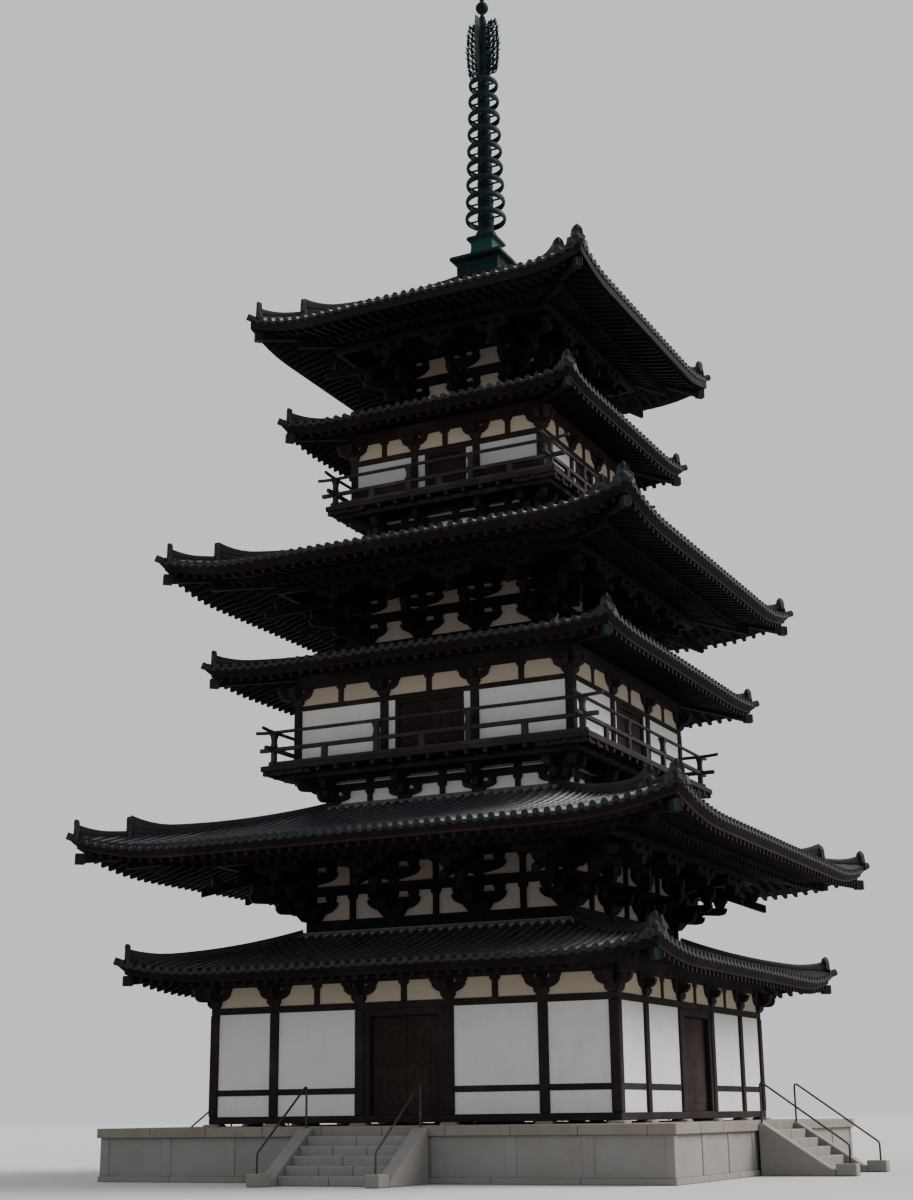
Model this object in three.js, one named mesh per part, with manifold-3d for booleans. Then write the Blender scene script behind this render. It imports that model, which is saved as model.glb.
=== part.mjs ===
// A three-storey timber pagoda with a pent roof under each of its main roofs.
// Millimetres, +Z up. The origin is the centre of the stone platform at ground level.
// The front faces -Y. The same design repeats on all four sides.

import * as THREE from 'three';
import { mergeGeometries, mergeVertices } from 'three/addons/utils/BufferGeometryUtils.js';
import Module from 'manifold-3d';

const wasm = await Module();
wasm.setup();

// Clearances
const SEAT = 0.3;
const SWING_GAP = 5;
const FUSE = 10;

// The platform and its stairs
const PLATFORM = { half: 7213, capHalf: 7285, capDepth: 220, top: 1210, stone: 60 };
const STAIR = { risers: 6, tread: 300, width: 2540, cheek: 350, cheekTop: 1230, cheekFoot: 9020 };
const STAIR_BLOCK = { inner: 9020, outer: 9500, height: 270, width: 340 };
const HANDRAIL = { radius: 28, footOut: 9330, footTop: 690, topOut: 7330, topHeight: 2080 };

// Walls of the pent storeys: posts across half a side, and the heights of each member
const WALLS = [
  {
    level: 1, half: 5280, posts: [1185, 3555, 5280], post: 240, foot: 1270, sillTop: 1440,
    waist: [1925, 2065], head: [3855, 4015], bandTop: 4490,
    doorHalf: 910, jambOut: 1070, lintel: 3680,
  },
  {
    level: 2, half: 3870, posts: [1290, 3870], post: 230, foot: 10170, sillTop: 10300,
    waist: null, head: [11670, 11800], bandTop: 12240,
    doorHalf: 860, jambOut: 980, lintel: 11560,
  },
  {
    level: 3, half: 2810, posts: [930, 2810], post: 210, foot: 17600, sillTop: 17710,
    waist: null, head: [18700, 18860], bandTop: 19295,
    doorHalf: 470, jambOut: 620, lintel: 18600,
  },
];
const PLASTER = 120;
const BEAM_OUT = 100;
const WAIST_OUT = 85;
const BRACKET_OUT = 90;

// The core of each storey: round posts, a head beam, two white bands and three-step brackets
const CORES = [
  {
    level: 1, half: 3555, posts: [1185, 3555], post: 200, foot: 1210, head: [5850, 6200],
    beam: [6820, 7060], bandTop: 7570, shelfTop: 7800, shelfIn: 3000, reach: 1795,
    purlin: 7500, arm: 700,
  },
  {
    level: 2, half: 2560, posts: [853, 2560], post: 180, foot: 10170, head: [13350, 13650],
    beam: [14190, 14446], bandTop: 14860, shelfTop: 15060, shelfIn: 2050, reach: 1740,
    purlin: 14850, arm: 560,
  },
  {
    level: 3, half: 1600, posts: [0, 1600], post: 150, foot: 17600, head: [20420, 20720],
    beam: [21270, 21540], bandTop: 22080, shelfTop: 22280, shelfIn: 1450, reach: 1600,
    purlin: 22100, arm: 520,
  },
];
const CORE_PLASTER = 80;
const CORE_BEAM_OUT = 140;
const PURLIN = 180;

// Low bracket walls that carry the balconies, and the balconies themselves
const BALCONIES = [
  {
    level: 2, half: 3160, posts: [1055, 3160], foot: 7800, beam: [9570, 9760], slitTop: 9865,
    deckTop: 10170, edge: 4470, rail: 4350, railPosts: [1450], railMiddle: [415, 500], railTop: 920,
  },
  {
    level: 3, half: 2200, posts: [930, 2200], foot: 15060, beam: [16930, 17100], slitTop: 17200,
    deckTop: 17600, edge: 3340, rail: 3220, railPosts: [930], railMiddle: [300, 385], railTop: 760,
  },
];
const BALCONY_WALL = { plaster: 70, timber: 110, foot: 200 };
const DECK = { thickness: 140, hole: 450 };
const RAILING = { bottom: 130, middleTip: 450, barHalf: 45, post: 120, tip: 600 };

// Roofs: edge and inner half widths, tile heights there, how hollow the slope is, corner lift
const PENT_ROOFS = [
  { level: 1, edge: 7060, edgeZ: 4760, innerZ: 5800, hollow: 0.35, lift: 325, pitch: 0.3 },
  { level: 2, edge: 5690, edgeZ: 12550, innerZ: 13330, hollow: 0.35, lift: 150, pitch: 0.25 },
  { level: 3, edge: 4340, edgeZ: 19580, innerZ: 20400, hollow: 0.35, lift: 210, pitch: 0.3 },
];
const MAIN_ROOFS = [
  { level: 1, edge: 7980, edgeZ: 7680, inner: 3270.3, innerZ: 9120, hollow: 0.45, lift: 440 },
  { level: 2, edge: 6620, edgeZ: 15110, inner: 2310.3, innerZ: 16600, hollow: 0.5, lift: 420 },
  { level: 3, edge: 5000, edgeZ: 22460, inner: 500, innerZ: 25000, hollow: 0.45, lift: 340, ridgeEnd: 600.3 },
];
const EAVE = { lip: 90, board: 210, rafter: 340, flying: 980, baseRise: 40, pitch: 0.27, boardIn: 130 };
const LIFT_START = 0.6;
const LIFT_POWER = 2.2;
const LIFT_FADE = 2;
const ATTIC_SKIN = 450;
const RIDGE_WIDTH = 260;
// Every fifth row of cover tiles stands out as a rib, apart from the short ones beside a corner
const RIB = { half: 75, height: 95, tile: 270, every: 5, corner: 700 };

// The centre pillar and the bronze finial
const PILLAR = { foot: 1210, top: 24990, radius: 300 };
const BASIN = { box: 600, cornice: 750, neck: 340, lip: 410, foot: 25000 };
const RINGS = { count: 9, firstZ: 27080, step: 569, firstRadius: 620, lastRadius: 460, band: 260 };
const FLAME = { foot: 31950, top: 33980, half: 545, thickness: 45 };
const JEWEL = { ballZ: 34380, ballRadius: 190, top: 35300 };

// Finishes
const FINISH = {
  stone: [0x9b978e, 0.85, 0],
  plaster: [0xd9d6cc, 0.9, 0],
  timber: [0x2a211c, 0.75, 0],
  door: [0x3a2a22, 0.7, 0],
  tile: [0x3c4047, 0.55, 0],
  bronze: [0x2f5a50, 0.5, 0.7],
};

const group = new THREE.Group();
const SIDES = ['front', 'right', 'back', 'left'];

function material(finish) {
  const [color, roughness, metalness] = FINISH[finish];
  return new THREE.MeshStandardMaterial({ color, roughness, metalness });
}

function add(name, shape, finish) {
  const mesh = new THREE.Mesh(toGeometry(shape), material(finish));
  mesh.name = name;
  group.add(mesh);
}

// Solids from geometries and back
function solid(geometry) {
  const bare = geometry.index ? geometry.toNonIndexed() : geometry.clone();
  bare.deleteAttribute('normal');
  bare.deleteAttribute('uv');
  const welded = mergeVertices(bare, 0.001);
  const mesh = new wasm.Mesh({
    numProp: 3,
    vertProperties: new Float32Array(welded.attributes.position.array),
    triVerts: new Uint32Array(welded.index.array),
  });
  return new wasm.Manifold(mesh);
}

function join(geometries) {
  const solids = geometries.map((geometry) => solid(geometry));
  while (solids.length > 1) {
    const first = solids.shift();
    const second = solids.shift();
    solids.push(first.add(second));
  }
  return solids[0];
}

function toGeometry(shape) {
  if (shape instanceof THREE.BufferGeometry) {
    return shape;
  }
  const mesh = shape.getMesh();
  const geometry = new THREE.BufferGeometry();
  geometry.setAttribute('position', new THREE.BufferAttribute(new Float32Array(mesh.vertProperties), 3));
  geometry.setIndex(new THREE.BufferAttribute(new Uint32Array(mesh.triVerts), 1));
  return geometry;
}

// Basic shapes
function block(x0, x1, y0, y1, z0, z1) {
  const box = new THREE.BoxGeometry(x1 - x0, y1 - y0, z1 - z0);
  return box.translate((x0 + x1) / 2, (y0 + y1) / 2, (z0 + z1) / 2);
}

function outline(points) {
  return new THREE.Shape(points.map(([a, b]) => new THREE.Vector2(a, b)));
}

// An outline drawn along the wall (x, z), from out0 to out1 in front of the centre
function wallPlate(points, out0, out1) {
  const plate = new THREE.ExtrudeGeometry(outline(points), { depth: out1 - out0, bevelEnabled: false });
  return plate.rotateX(Math.PI / 2).translate(0, -out0, 0);
}

// An outline drawn across the wall (out, z), centred on x
function crossPlate(points, x, width) {
  const plate = new THREE.ExtrudeGeometry(outline(points), { depth: width, bevelEnabled: false });
  const turn = new THREE.Matrix4().makeBasis(
    new THREE.Vector3(0, -1, 0), new THREE.Vector3(0, 0, 1), new THREE.Vector3(-1, 0, 0),
  );
  return plate.applyMatrix4(turn).translate(x + width / 2, 0, 0);
}

// An outline drawn on the diagonal of the front right corner. Its first value is the half width
// of the square whose corner it marks.
function cornerPlate(points, width) {
  const stretched = points.map(([half, z]) => [half * Math.SQRT2, z]);
  const plate = new THREE.ExtrudeGeometry(outline(stretched), { depth: width, bevelEnabled: false });
  const turn = new THREE.Matrix4().makeBasis(
    new THREE.Vector3(Math.SQRT1_2, -Math.SQRT1_2, 0), new THREE.Vector3(0, 0, 1),
    new THREE.Vector3(-Math.SQRT1_2, -Math.SQRT1_2, 0),
  );
  const back = width * Math.SQRT1_2 / 2;
  return plate.applyMatrix4(turn).translate(back, back, 0);
}

function quarterTurn(geometry, turns) {
  const turn = new THREE.Matrix4();
  const [c, s] = [[1, 0], [0, 1], [-1, 0], [0, -1]][turns];
  turn.set(c, -s, 0, 0, s, c, 0, 0, 0, 0, 1, 0, 0, 0, 0, 1);
  return geometry.clone().applyMatrix4(turn);
}

function around(geometries) {
  return [0, 1, 2, 3].flatMap((turns) => geometries.map((geometry) => quarterTurn(geometry, turns)));
}

function mirrored(places) {
  return places.flatMap((x) => (x === 0 ? [0] : [-x, x]));
}

// A square ring of rectangular section, between two half widths
function squareRing(inner, outer, z0, z1) {
  const section = [[outer, z0], [outer, z1], [inner, z1], [inner, z0]];
  const corners = [[-1, -1], [1, -1], [1, 1], [-1, 1]];
  const positions = section.flatMap(([half, z]) => corners.flatMap(([x, y]) => [x * half, y * half, z]));
  const index = [];
  for (let k = 0; k < 4; k += 1) {
    const after = (k + 1) % 4;
    for (let side = 0; side < 4; side += 1) {
      const next = (side + 1) % 4;
      const [a, b] = [4 * k + side, 4 * after + side];
      const [c, d] = [4 * k + next, 4 * after + next];
      index.push(a, c, b, b, c, d);
    }
  }
  const geometry = new THREE.BufferGeometry();
  geometry.setAttribute('position', new THREE.Float32BufferAttribute(positions, 3));
  geometry.setIndex(index);
  return geometry;
}

// An arm along the wall, shorter at the foot
function wallArm(x, foot, top, length, out0, out1) {
  const points = [[x - length * 0.8, foot], [x + length * 0.8, foot], [x + length, top], [x - length, top]];
  return wallPlate(points, out0, out1);
}

// Platform and stairs
function platform() {
  const { half, capHalf, capDepth, top, stone } = PLATFORM;
  const pieces = [
    block(-half, half, -half, half, 0, top - FUSE),
    block(-capHalf, capHalf, -capHalf, capHalf, top - capDepth, top),
  ];
  const [wall] = WALLS;
  const size = wall.post / 2 + 90;
  for (const x of mirrored(wall.posts)) {
    for (const y of mirrored(wall.posts)) {
      if (Math.max(Math.abs(x), Math.abs(y)) === wall.half) {
        pieces.push(block(x - size, x + size, y - size, y + size, top - FUSE, top + stone));
      }
    }
  }
  return join(pieces);
}

function handrail(x) {
  const { radius, footOut, footTop, topOut, topHeight } = HANDRAIL;
  const size = radius;
  const rail = [
    [footOut + size, footTop - size], [footOut + size, footTop + size], [topOut, topHeight + size],
    [topOut, topHeight - size],
  ];
  const slope = (topHeight - footTop) / (footOut - topOut);
  const cheekSlope = STAIR.cheekTop / (STAIR.cheekFoot - PLATFORM.capHalf);
  const post = (out) => {
    const foot = Math.max(STAIR.cheekTop - (out - PLATFORM.capHalf) * cheekSlope, STAIR_BLOCK.height) - 80;
    const top = footTop + (footOut - out) * slope;
    return block(x - size, x + size, -out - size, -out + size, foot, top);
  };
  return [crossPlate(rail, x, 2 * size), post(footOut), post(topOut + size)];
}

function stair() {
  const { risers, tread, width, cheek, cheekTop, cheekFoot } = STAIR;
  const rise = PLATFORM.top / risers;
  const start = PLATFORM.capHalf + SEAT;
  const steps = [[start, 0]];
  for (let step = 1; step < risers; step += 1) {
    const out = start + (step - 1) * tread;
    const height = PLATFORM.top - step * rise;
    steps.push([out, height], [out + tread, height]);
  }
  steps.push([start + (risers - 1) * tread, 0]);
  const slab = [[start, 0], [start, cheekTop], [start + 90, cheekTop], [cheekFoot, 90], [cheekFoot, 0]];
  const cheekX = (width + cheek) / 2;
  const pieces = [crossPlate(steps, 0, width + 2 * FUSE)];
  for (const x of [-cheekX, cheekX]) {
    const { inner, outer, height, width: size } = STAIR_BLOCK;
    pieces.push(crossPlate(slab, x, cheek));
    pieces.push(block(x - size / 2, x + size / 2, -outer, -inner + FUSE, 0, height));
    pieces.push(...handrail(x));
  }
  return join(pieces);
}

// Walls of the pent storeys
function doorway(wall) {
  return block(-wall.jambOut, wall.jambOut, -wall.half - 200, -wall.half + 200, wall.foot, wall.head[0]);
}

// The plaster of one side, in one sheet behind the posts and brackets
function sidePlaster(wall, reach, grow) {
  const out = PLASTER / 2 + grow;
  const body = solid(block(
    -reach - grow, reach + grow, -wall.half - out, -wall.half + out, wall.sillTop - grow, wall.bandTop + grow,
  ));
  return body.subtract(solid(doorway(wall)));
}

function beamTop(wall) {
  const roof = PENT_ROOFS[wall.level - 1];
  const run = roof.edge - EAVE.boardIn - (wall.half + BEAM_OUT);
  return roof.edgeZ - EAVE.rafter + run * roof.pitch - SEAT;
}

// Two jambs and a lintel, cut from one plate
function doorFrame(wall) {
  const { half, doorHalf, jambOut, sillTop, lintel, head } = wall;
  const [foot, top] = [sillTop - FUSE, head[0] + FUSE];
  const points = [
    [-jambOut - FUSE, foot], [-doorHalf, foot], [-doorHalf, lintel], [doorHalf, lintel], [doorHalf, foot],
    [jambOut + FUSE, foot], [jambOut + FUSE, top], [-jambOut - FUSE, top],
  ];
  return wallPlate(points, half - BEAM_OUT + 15, half + BEAM_OUT - 15);
}

function postBracket(wall, x) {
  const face = wall.half + PLASTER / 2 + SEAT;
  return wallArm(x, wall.head[1] - FUSE, wall.bandTop + FUSE, wall.post * 1.7, face, wall.half + BRACKET_OUT);
}

// The beams that run right along a side, as foot, top and how far they reach in and out. The head beam
// starts inside the plaster, which is cut out of it later.
function longBeams(wall) {
  return [
    [wall.foot + SEAT, wall.sillTop, BEAM_OUT, BEAM_OUT], [...wall.head, 0, BEAM_OUT],
    [wall.bandTop, beamTop(wall), BEAM_OUT, BEAM_OUT],
  ];
}

// A square post. It stands out of the wall by half its size, and reaches in by back.
function wallPost(wall, x, back) {
  const { half, post, sillTop, head } = wall;
  const size = post / 2;
  return block(x - size, x + size, -half - size, -half + back, sillTop - FUSE, head[0] + FUSE);
}

// Posts with their brackets, and the door frame, of one side
function sideTimber(wall, posts) {
  const pieces = [doorFrame(wall)];
  for (const x of mirrored(posts)) {
    pieces.push(wallPost(wall, x, 0), postBracket(wall, x));
  }
  return pieces;
}

function groundStorey(wall) {
  const size = wall.post / 2;
  const cornerFace = wall.half - size - SEAT;
  SIDES.forEach((side, turns) => {
    const ownsCorners = turns % 2 === 0;
    const reach = ownsCorners ? wall.half : cornerFace;
    const inner = wall.posts.filter((x) => x < wall.half);
    const timber = sideTimber(wall, inner);
    const beamReach = ownsCorners ? wall.half + BEAM_OUT : cornerFace;
    const bar = (x0, x1, z0, z1, back, out) => block(x0, x1, -wall.half - out, -wall.half + back, z0, z1);
    timber.push(...longBeams(wall).map((sizes) => bar(-beamReach, beamReach, ...sizes)));
    for (const [x0, x1] of [[-beamReach, -wall.posts[0]], [wall.posts[0], beamReach]]) {
      timber.push(bar(x0, x1, ...wall.waist, 0, WAIST_OUT));
    }
    if (ownsCorners) {
      timber.push(...mirrored([wall.half]).map((x) => wallPost(wall, x, size)));
    }
    let frame = join(timber);
    frame = frame.subtract(sidePlaster(wall, ownsCorners ? reach - size : reach, SEAT));
    for (const x of mirrored([wall.doorHalf])) {
      frame = frame.subtract(solid(pivotSocket(wall, Math.sign(x))));
    }
    const plaster = sidePlaster(wall, ownsCorners ? reach - size - SEAT : reach - SEAT, 0);
    add(`ground_plaster_${side}`, quarterTurn(toGeometry(plaster), turns), 'plaster');
    add(`ground_frame_${side}`, quarterTurn(toGeometry(frame), turns), 'timber');
    for (const hand of [-1, 1]) {
      const name = hand < 0 ? 'left' : 'right';
      add(`door_${side}_${name}`, quarterTurn(toGeometry(doorLeaf(wall, hand)), turns), 'door');
    }
  });
}

// Door leaves swing inwards on pivots set in the sill and the lintel
const LEAF = { thickness: 60, pin: 20, pinDepth: 30, in: 70 };

function pivotCentre(wall, hand) {
  const x = hand * (wall.doorHalf - SWING_GAP - LEAF.thickness / 2);
  return [x, -(wall.half - LEAF.in)];
}

function pivotCylinder(wall, hand, radius, z0, z1) {
  const [x, y] = pivotCentre(wall, hand);
  const post = new THREE.CylinderGeometry(radius, radius, z1 - z0, 6);
  return post.rotateX(Math.PI / 2).translate(x, y, (z0 + z1) / 2);
}

function pivotSocket(wall, hand) {
  const radius = (LEAF.pin + SEAT) / Math.cos(Math.PI / 6);
  const foot = wall.sillTop - LEAF.pinDepth - SEAT;
  return pivotCylinder(wall, hand, radius, foot, wall.lintel + LEAF.pinDepth + SEAT);
}

function doorLeaf(wall, hand) {
  const [x, y] = pivotCentre(wall, hand);
  const free = hand * (SWING_GAP / 2 + 1);
  const half = LEAF.thickness / 2;
  const [foot, top] = [wall.sillTop + SWING_GAP, wall.lintel - SWING_GAP];
  return join([
    block(Math.min(x, free), Math.max(x, free), y - half, y + half, foot, top),
    pivotCylinder(wall, hand, half, foot, top),
    pivotCylinder(wall, hand, LEAF.pin, wall.sillTop - LEAF.pinDepth, wall.lintel + LEAF.pinDepth),
  ]);
}

// The upper pent storeys have shut doors of planks set in their frames
function upperStorey(wall) {
  const planks = block(
    -wall.doorHalf - FUSE, wall.doorHalf + FUSE, -wall.half - 30, -wall.half + 30,
    wall.sillTop - FUSE, wall.lintel + FUSE,
  );
  const inner = wall.posts.filter((x) => x < wall.half);
  const corners = mirrored([wall.half]).map((x) => wallPost(wall, x, 0));
  const timber = join([
    ...longBeams(wall).map(([z0, z1, back, out]) => squareRing(wall.half - back, wall.half + out, z0, z1)),
    ...around([...sideTimber(wall, inner), ...corners, planks]),
  ]);
  const ring = (grow) => {
    const out = PLASTER / 2 + grow;
    const body = solid(squareRing(
      wall.half - out, wall.half + out, wall.sillTop - grow, wall.bandTop + grow,
    ));
    return body.subtract(join(around([doorway(wall)])));
  };
  add(`storey_plaster_${wall.level}`, ring(0), 'plaster');
  add(`storey_frame_${wall.level}`, timber.subtract(ring(SEAT)), 'timber');
}

// The core of a storey
function bracketOutline(core) {
  const { half, head, reach, purlin, bandTop } = core;
  const rise = purlin - head[1];
  const steps = [
    [0, -0.01], [0.16, 0.04], [0.82, 0.46], [1.14, 0.34], [1.14, 0.55], [1.06, 0.58], [1.06, 1.01],
    [0.94, 1.01], [0.94, 0.68],
  ];
  const face = half + CORE_PLASTER / 2 + SEAT;
  const points = steps.map(([out, up]) => [face + out * reach, head[1] + up * rise]);
  return [...points, [face, bandTop + 3 * FUSE]];
}

function coreSide(core) {
  const { half, head, beam, arm, post } = core;
  const face = half + CORE_PLASTER / 2 + SEAT;
  const inner = core.posts.filter((x) => x < half);
  return mirrored(inner).flatMap((x) => [
    wallArm(x, head[1] - FUSE, beam[0] + FUSE, arm, face, half + CORE_BEAM_OUT - 20),
    crossPlate(bracketOutline(core), x, post * 0.9),
  ]);
}

function corePosts(core) {
  const places = [];
  for (const x of mirrored(core.posts)) {
    for (const y of mirrored(core.posts)) {
      if (Math.max(Math.abs(x), Math.abs(y)) === core.half) {
        places.push([x, y]);
      }
    }
  }
  const height = core.head[0] + FUSE - core.foot - SEAT;
  return places.map(([x, y]) => {
    const post = new THREE.CylinderGeometry(core.post, core.post, height, 6);
    return post.rotateX(Math.PI / 2).translate(x, y, core.foot + SEAT + height / 2);
  });
}

function coreFrame(core) {
  const { half, head, beam, bandTop, shelfTop, shelfIn, reach, purlin, post } = core;
  const roof = MAIN_ROOFS[core.level - 1];
  const out = half + CORE_BEAM_OUT;
  const face = half + CORE_PLASTER / 2 + SEAT;
  const purlinOut = half + reach + PURLIN / 2;
  return join([
    ...corePosts(core),
    squareRing(half - post - FUSE, half + post + FUSE, head[0], head[1]),
    squareRing(face, out, beam[0], beam[1]),
    squareRing(shelfIn, out, bandTop, shelfTop),
    squareRing(out - PURLIN, out, shelfTop - FUSE, baseRafterZ(roof, out) - SEAT),
    squareRing(purlinOut - PURLIN, purlinOut, purlin, baseRafterZ(roof, purlinOut) - SEAT),
    ...around(coreSide(core)),
    ...around([cornerPlate(bracketOutline(core), post * 0.9)]),
  ]);
}

function corePlaster(core) {
  const out = CORE_PLASTER / 2;
  return squareRing(core.half - out, core.half + out, core.head[1] + SEAT, core.bandTop - SEAT);
}

// Balconies
function balconyWall(balcony) {
  const { half, foot, beam, slitTop, deckTop } = balcony;
  const { plaster, timber, foot: footing } = BALCONY_WALL;
  const deckFoot = deckTop - DECK.thickness;
  const face = half + plaster / 2 + SEAT;
  const out = half + timber;
  const pieces = [
    squareRing(half - timber, out, foot + SEAT, foot + footing),
    squareRing(face, out, beam[0], beam[1]),
    squareRing(half - timber, out, slitTop, deckFoot - SEAT),
  ];
  const [footTop, top] = [foot + footing - FUSE, deckFoot - SEAT];
  const steps = [[320, -700], [700, -410], [900, -200], [900, 0], [0, 0]];
  const outer = steps.map(([out, up]) => [face + out, top + up]);
  const sideSteps = [[face, footTop], [face + 70, footTop], [face + 70, top - 760], ...outer];
  const cornerSteps = [[face, top - 600], [face + 75, top - 600], ...outer];
  const inner = mirrored(balcony.posts).filter((x) => Math.abs(x) < half);
  pieces.push(...around(inner.map((x) => crossPlate(sideSteps, x, 180))));
  pieces.push(...around([cornerPlate(cornerSteps, 180)]));
  add(`balcony_frame_${balcony.level}`, join(pieces), 'timber');
  add(
    `balcony_plaster_${balcony.level}`,
    squareRing(half - plaster / 2, half + plaster / 2, foot + footing + SEAT, slitTop - SEAT),
    'plaster',
  );
}

function deck(balcony) {
  const foot = balcony.deckTop - DECK.thickness;
  return squareRing(DECK.hole, balcony.edge, foot, balcony.deckTop);
}

function railing(balcony) {
  const { rail, deckTop, railPosts, railMiddle: middle, railTop: top } = balcony;
  const { bottom, middleTip, barHalf, post, tip } = RAILING;
  const foot = deckTop + SEAT;
  const bar = (reach, z0, z1) => block(-reach, reach, -rail - barHalf, -rail + barHalf, foot + z0, foot + z1);
  const ring = squareRing(rail - post / 2, rail + post / 2, foot, foot + bottom);
  const side = [
    bar(rail + middleTip, middle[0], middle[1]),
    bar(rail + tip, top - barHalf, top + barHalf),
  ];
  const size = (post - FUSE) / 2;
  for (const x of [...mirrored(railPosts), rail]) {
    side.push(block(x - size, x + size, -rail - size, -rail + size, foot + bottom - FUSE, foot + top));
  }
  return join([ring, ...around(side)]);
}

// Roofs
function roofZ(roof, half, ratio) {
  const t = (roof.edge - half) / (roof.edge - roof.inner);
  const slope = (1 - roof.hollow) * t + roof.hollow * t * t;
  return roof.edgeZ + (roof.innerZ - roof.edgeZ) * slope + cornerLift(roof, half, ratio);
}

function cornerLift(roof, half, ratio) {
  const t = Math.min((roof.edge - half) / (roof.edge - roof.inner), 1);
  const along = Math.max(0, (Math.abs(ratio) - LIFT_START) / (1 - LIFT_START));
  return roof.lift * along ** LIFT_POWER * (1 - t) ** LIFT_FADE;
}

// The underside of the base rafters at the middle of a side
function baseRafterZ(roof, half) {
  const end = roof.edge - EAVE.boardIn - EAVE.flying;
  return roof.edgeZ - EAVE.rafter - EAVE.baseRise + (end - half) * EAVE.pitch;
}

function mainEaves(roof) {
  const board = roof.edge - EAVE.boardIn;
  const end = board - EAVE.flying;
  const under = [
    [roof.edge, roof.edgeZ - EAVE.lip],
    [board, roof.edgeZ - EAVE.board],
    [board - 20, roof.edgeZ - EAVE.rafter],
    [end, roof.edgeZ - EAVE.rafter + 120],
    [end, baseRafterZ(roof, end)],
  ];
  if (roof.level === 3) {
    const core = CORES[2];
    const wall = core.half + CORE_BEAM_OUT - PURLIN;
    under.push([wall, baseRafterZ(roof, wall)], [roof.inner, roof.innerZ - ATTIC_SKIN]);
  } else {
    under.push([roof.inner, baseRafterZ(roof, roof.inner)]);
  }
  return under;
}

function pentEaves(roof) {
  const board = roof.edge - EAVE.boardIn;
  return [
    [roof.edge, roof.edgeZ - EAVE.lip],
    [board + 20, roof.edgeZ - EAVE.board],
    [board, roof.edgeZ - EAVE.rafter],
    [roof.inner, roof.edgeZ - EAVE.rafter + (board - roof.inner) * roof.pitch],
  ];
}

// A hip ridge: a curved end tile at the corner, a low run, and a higher run behind it
function hipRidge(roof, stepped) {
  const span = roof.edge - roof.inner;
  const surface = (half) => roofZ(roof, half, 1);
  const ridgeEnd = Math.max(roof.inner, roof.ridgeEnd ?? 0);
  const top = [
    [roof.edge - 90, 100], [roof.edge - 110, 440], [roof.edge - 500, 190],
  ];
  if (stepped) {
    const end = roof.edge - 0.223 * span;
    top.push([end + 5, 190], [end, 500], [end - 220, 370]);
    top.push([roof.edge - 0.6 * span, 310], [ridgeEnd, 150]);
  } else {
    top.push([ridgeEnd, 150]);
  }
  const under = [ridgeEnd, roof.edge - 0.6 * span, roof.edge - 0.25 * span].map((half) => [half, -80]);
  const points = [...top, ...under, [roof.edge - 200, -80]];
  return cornerPlate(points.map(([half, up]) => [half, surface(half) + up]), RIDGE_WIDTH);
}

// The hip rafter that carries the corner, with its end showing under the tiles
function hipRafter(roof, eaves, back, depth) {
  const board = roof.edge - EAVE.boardIn;
  const soffit = (half) => {
    const after = eaves.findIndex(([out]) => out <= half);
    const [[outA, zA], [outB, zB]] = [eaves[after - 1], eaves[after]];
    const z = zA + (zB - zA) * (outA - half) / (outA - outB);
    return z + cornerLift(roof, half, 1);
  };
  const points = [
    [board + 60, soffit(board - 30) - depth], [board + 60, soffit(board - 30) + 60],
    [back, soffit(back) + 100], [back, soffit(back) - depth * 0.4],
  ];
  return cornerPlate(points, 240);
}

// Where the ribs of a side lie, counted in whole tiles from the middle
function ribPlaces(roof) {
  const columns = 2 * Math.round(roof.edge / RIB.tile);
  const step = RIB.every * 2 * roof.edge / columns;
  const places = [];
  for (let x = step / 2; x < roof.edge - RIB.corner; x += step) {
    places.push(x);
  }
  return mirrored(places);
}

// Half widths of the rows of points on the slope: a row for each rib, so that the rib ends at the hip
function tileRowHalves(roof) {
  const ends = ribPlaces(roof).filter((x) => x > roof.inner + 3 * RIB.half);
  return [roof.edge, ...ends.sort((a, b) => b - a), roof.inner];
}

// Points across the slope at one half width, from corner to corner, over the ribs
function tileRow(roof, half) {
  const points = [[-half, 0], [half, 0]];
  for (const x of ribPlaces(roof)) {
    if (Math.abs(x) + 2 * RIB.half < half) {
      points.push([x - RIB.half, 0], [x, RIB.height], [x + RIB.half, 0]);
    }
  }
  points.sort((a, b) => a[0] - b[0]);
  return points.map(([x, up]) => [x, -half, roofZ(roof, half, x / half) + up]);
}

// Points along the underside at one half width, from corner to corner, following the lift of the corners
function eaveRow(roof, [half, z]) {
  const isLifted = cornerLift(roof, half, 1) > FUSE;
  const ratios = isLifted ? [-1, -0.84, -0.6, 0.6, 0.84, 1] : [-1, -0.6, 0.6, 1];
  return ratios.map((ratio) => [ratio * half, -half, z + cornerLift(roof, half, ratio)]);
}

// The triangles between two rows of points. The key of a point says how far along its row it is.
// The upper row goes to its corner as soon as it can, so that both ends look the same.
function zipRows(lower, upper, key) {
  const triangles = [];
  const [lowerEnd, upperEnd] = [lower.length - 1, upper.length - 1];
  let [i, j] = [0, 0];
  while (i < lowerEnd || j < upperEnd) {
    const upperNext = j + 1 === upperEnd ? upper[j] : upper[j + 1];
    if (j === upperEnd || (i < lowerEnd && key(lower[i + 1]) <= key(upperNext))) {
      triangles.push(lower[i], lower[i + 1], upper[j]);
      i += 1;
    } else {
      triangles.push(upper[j], lower[i], upper[j + 1]);
      j += 1;
    }
  }
  return triangles;
}

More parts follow.
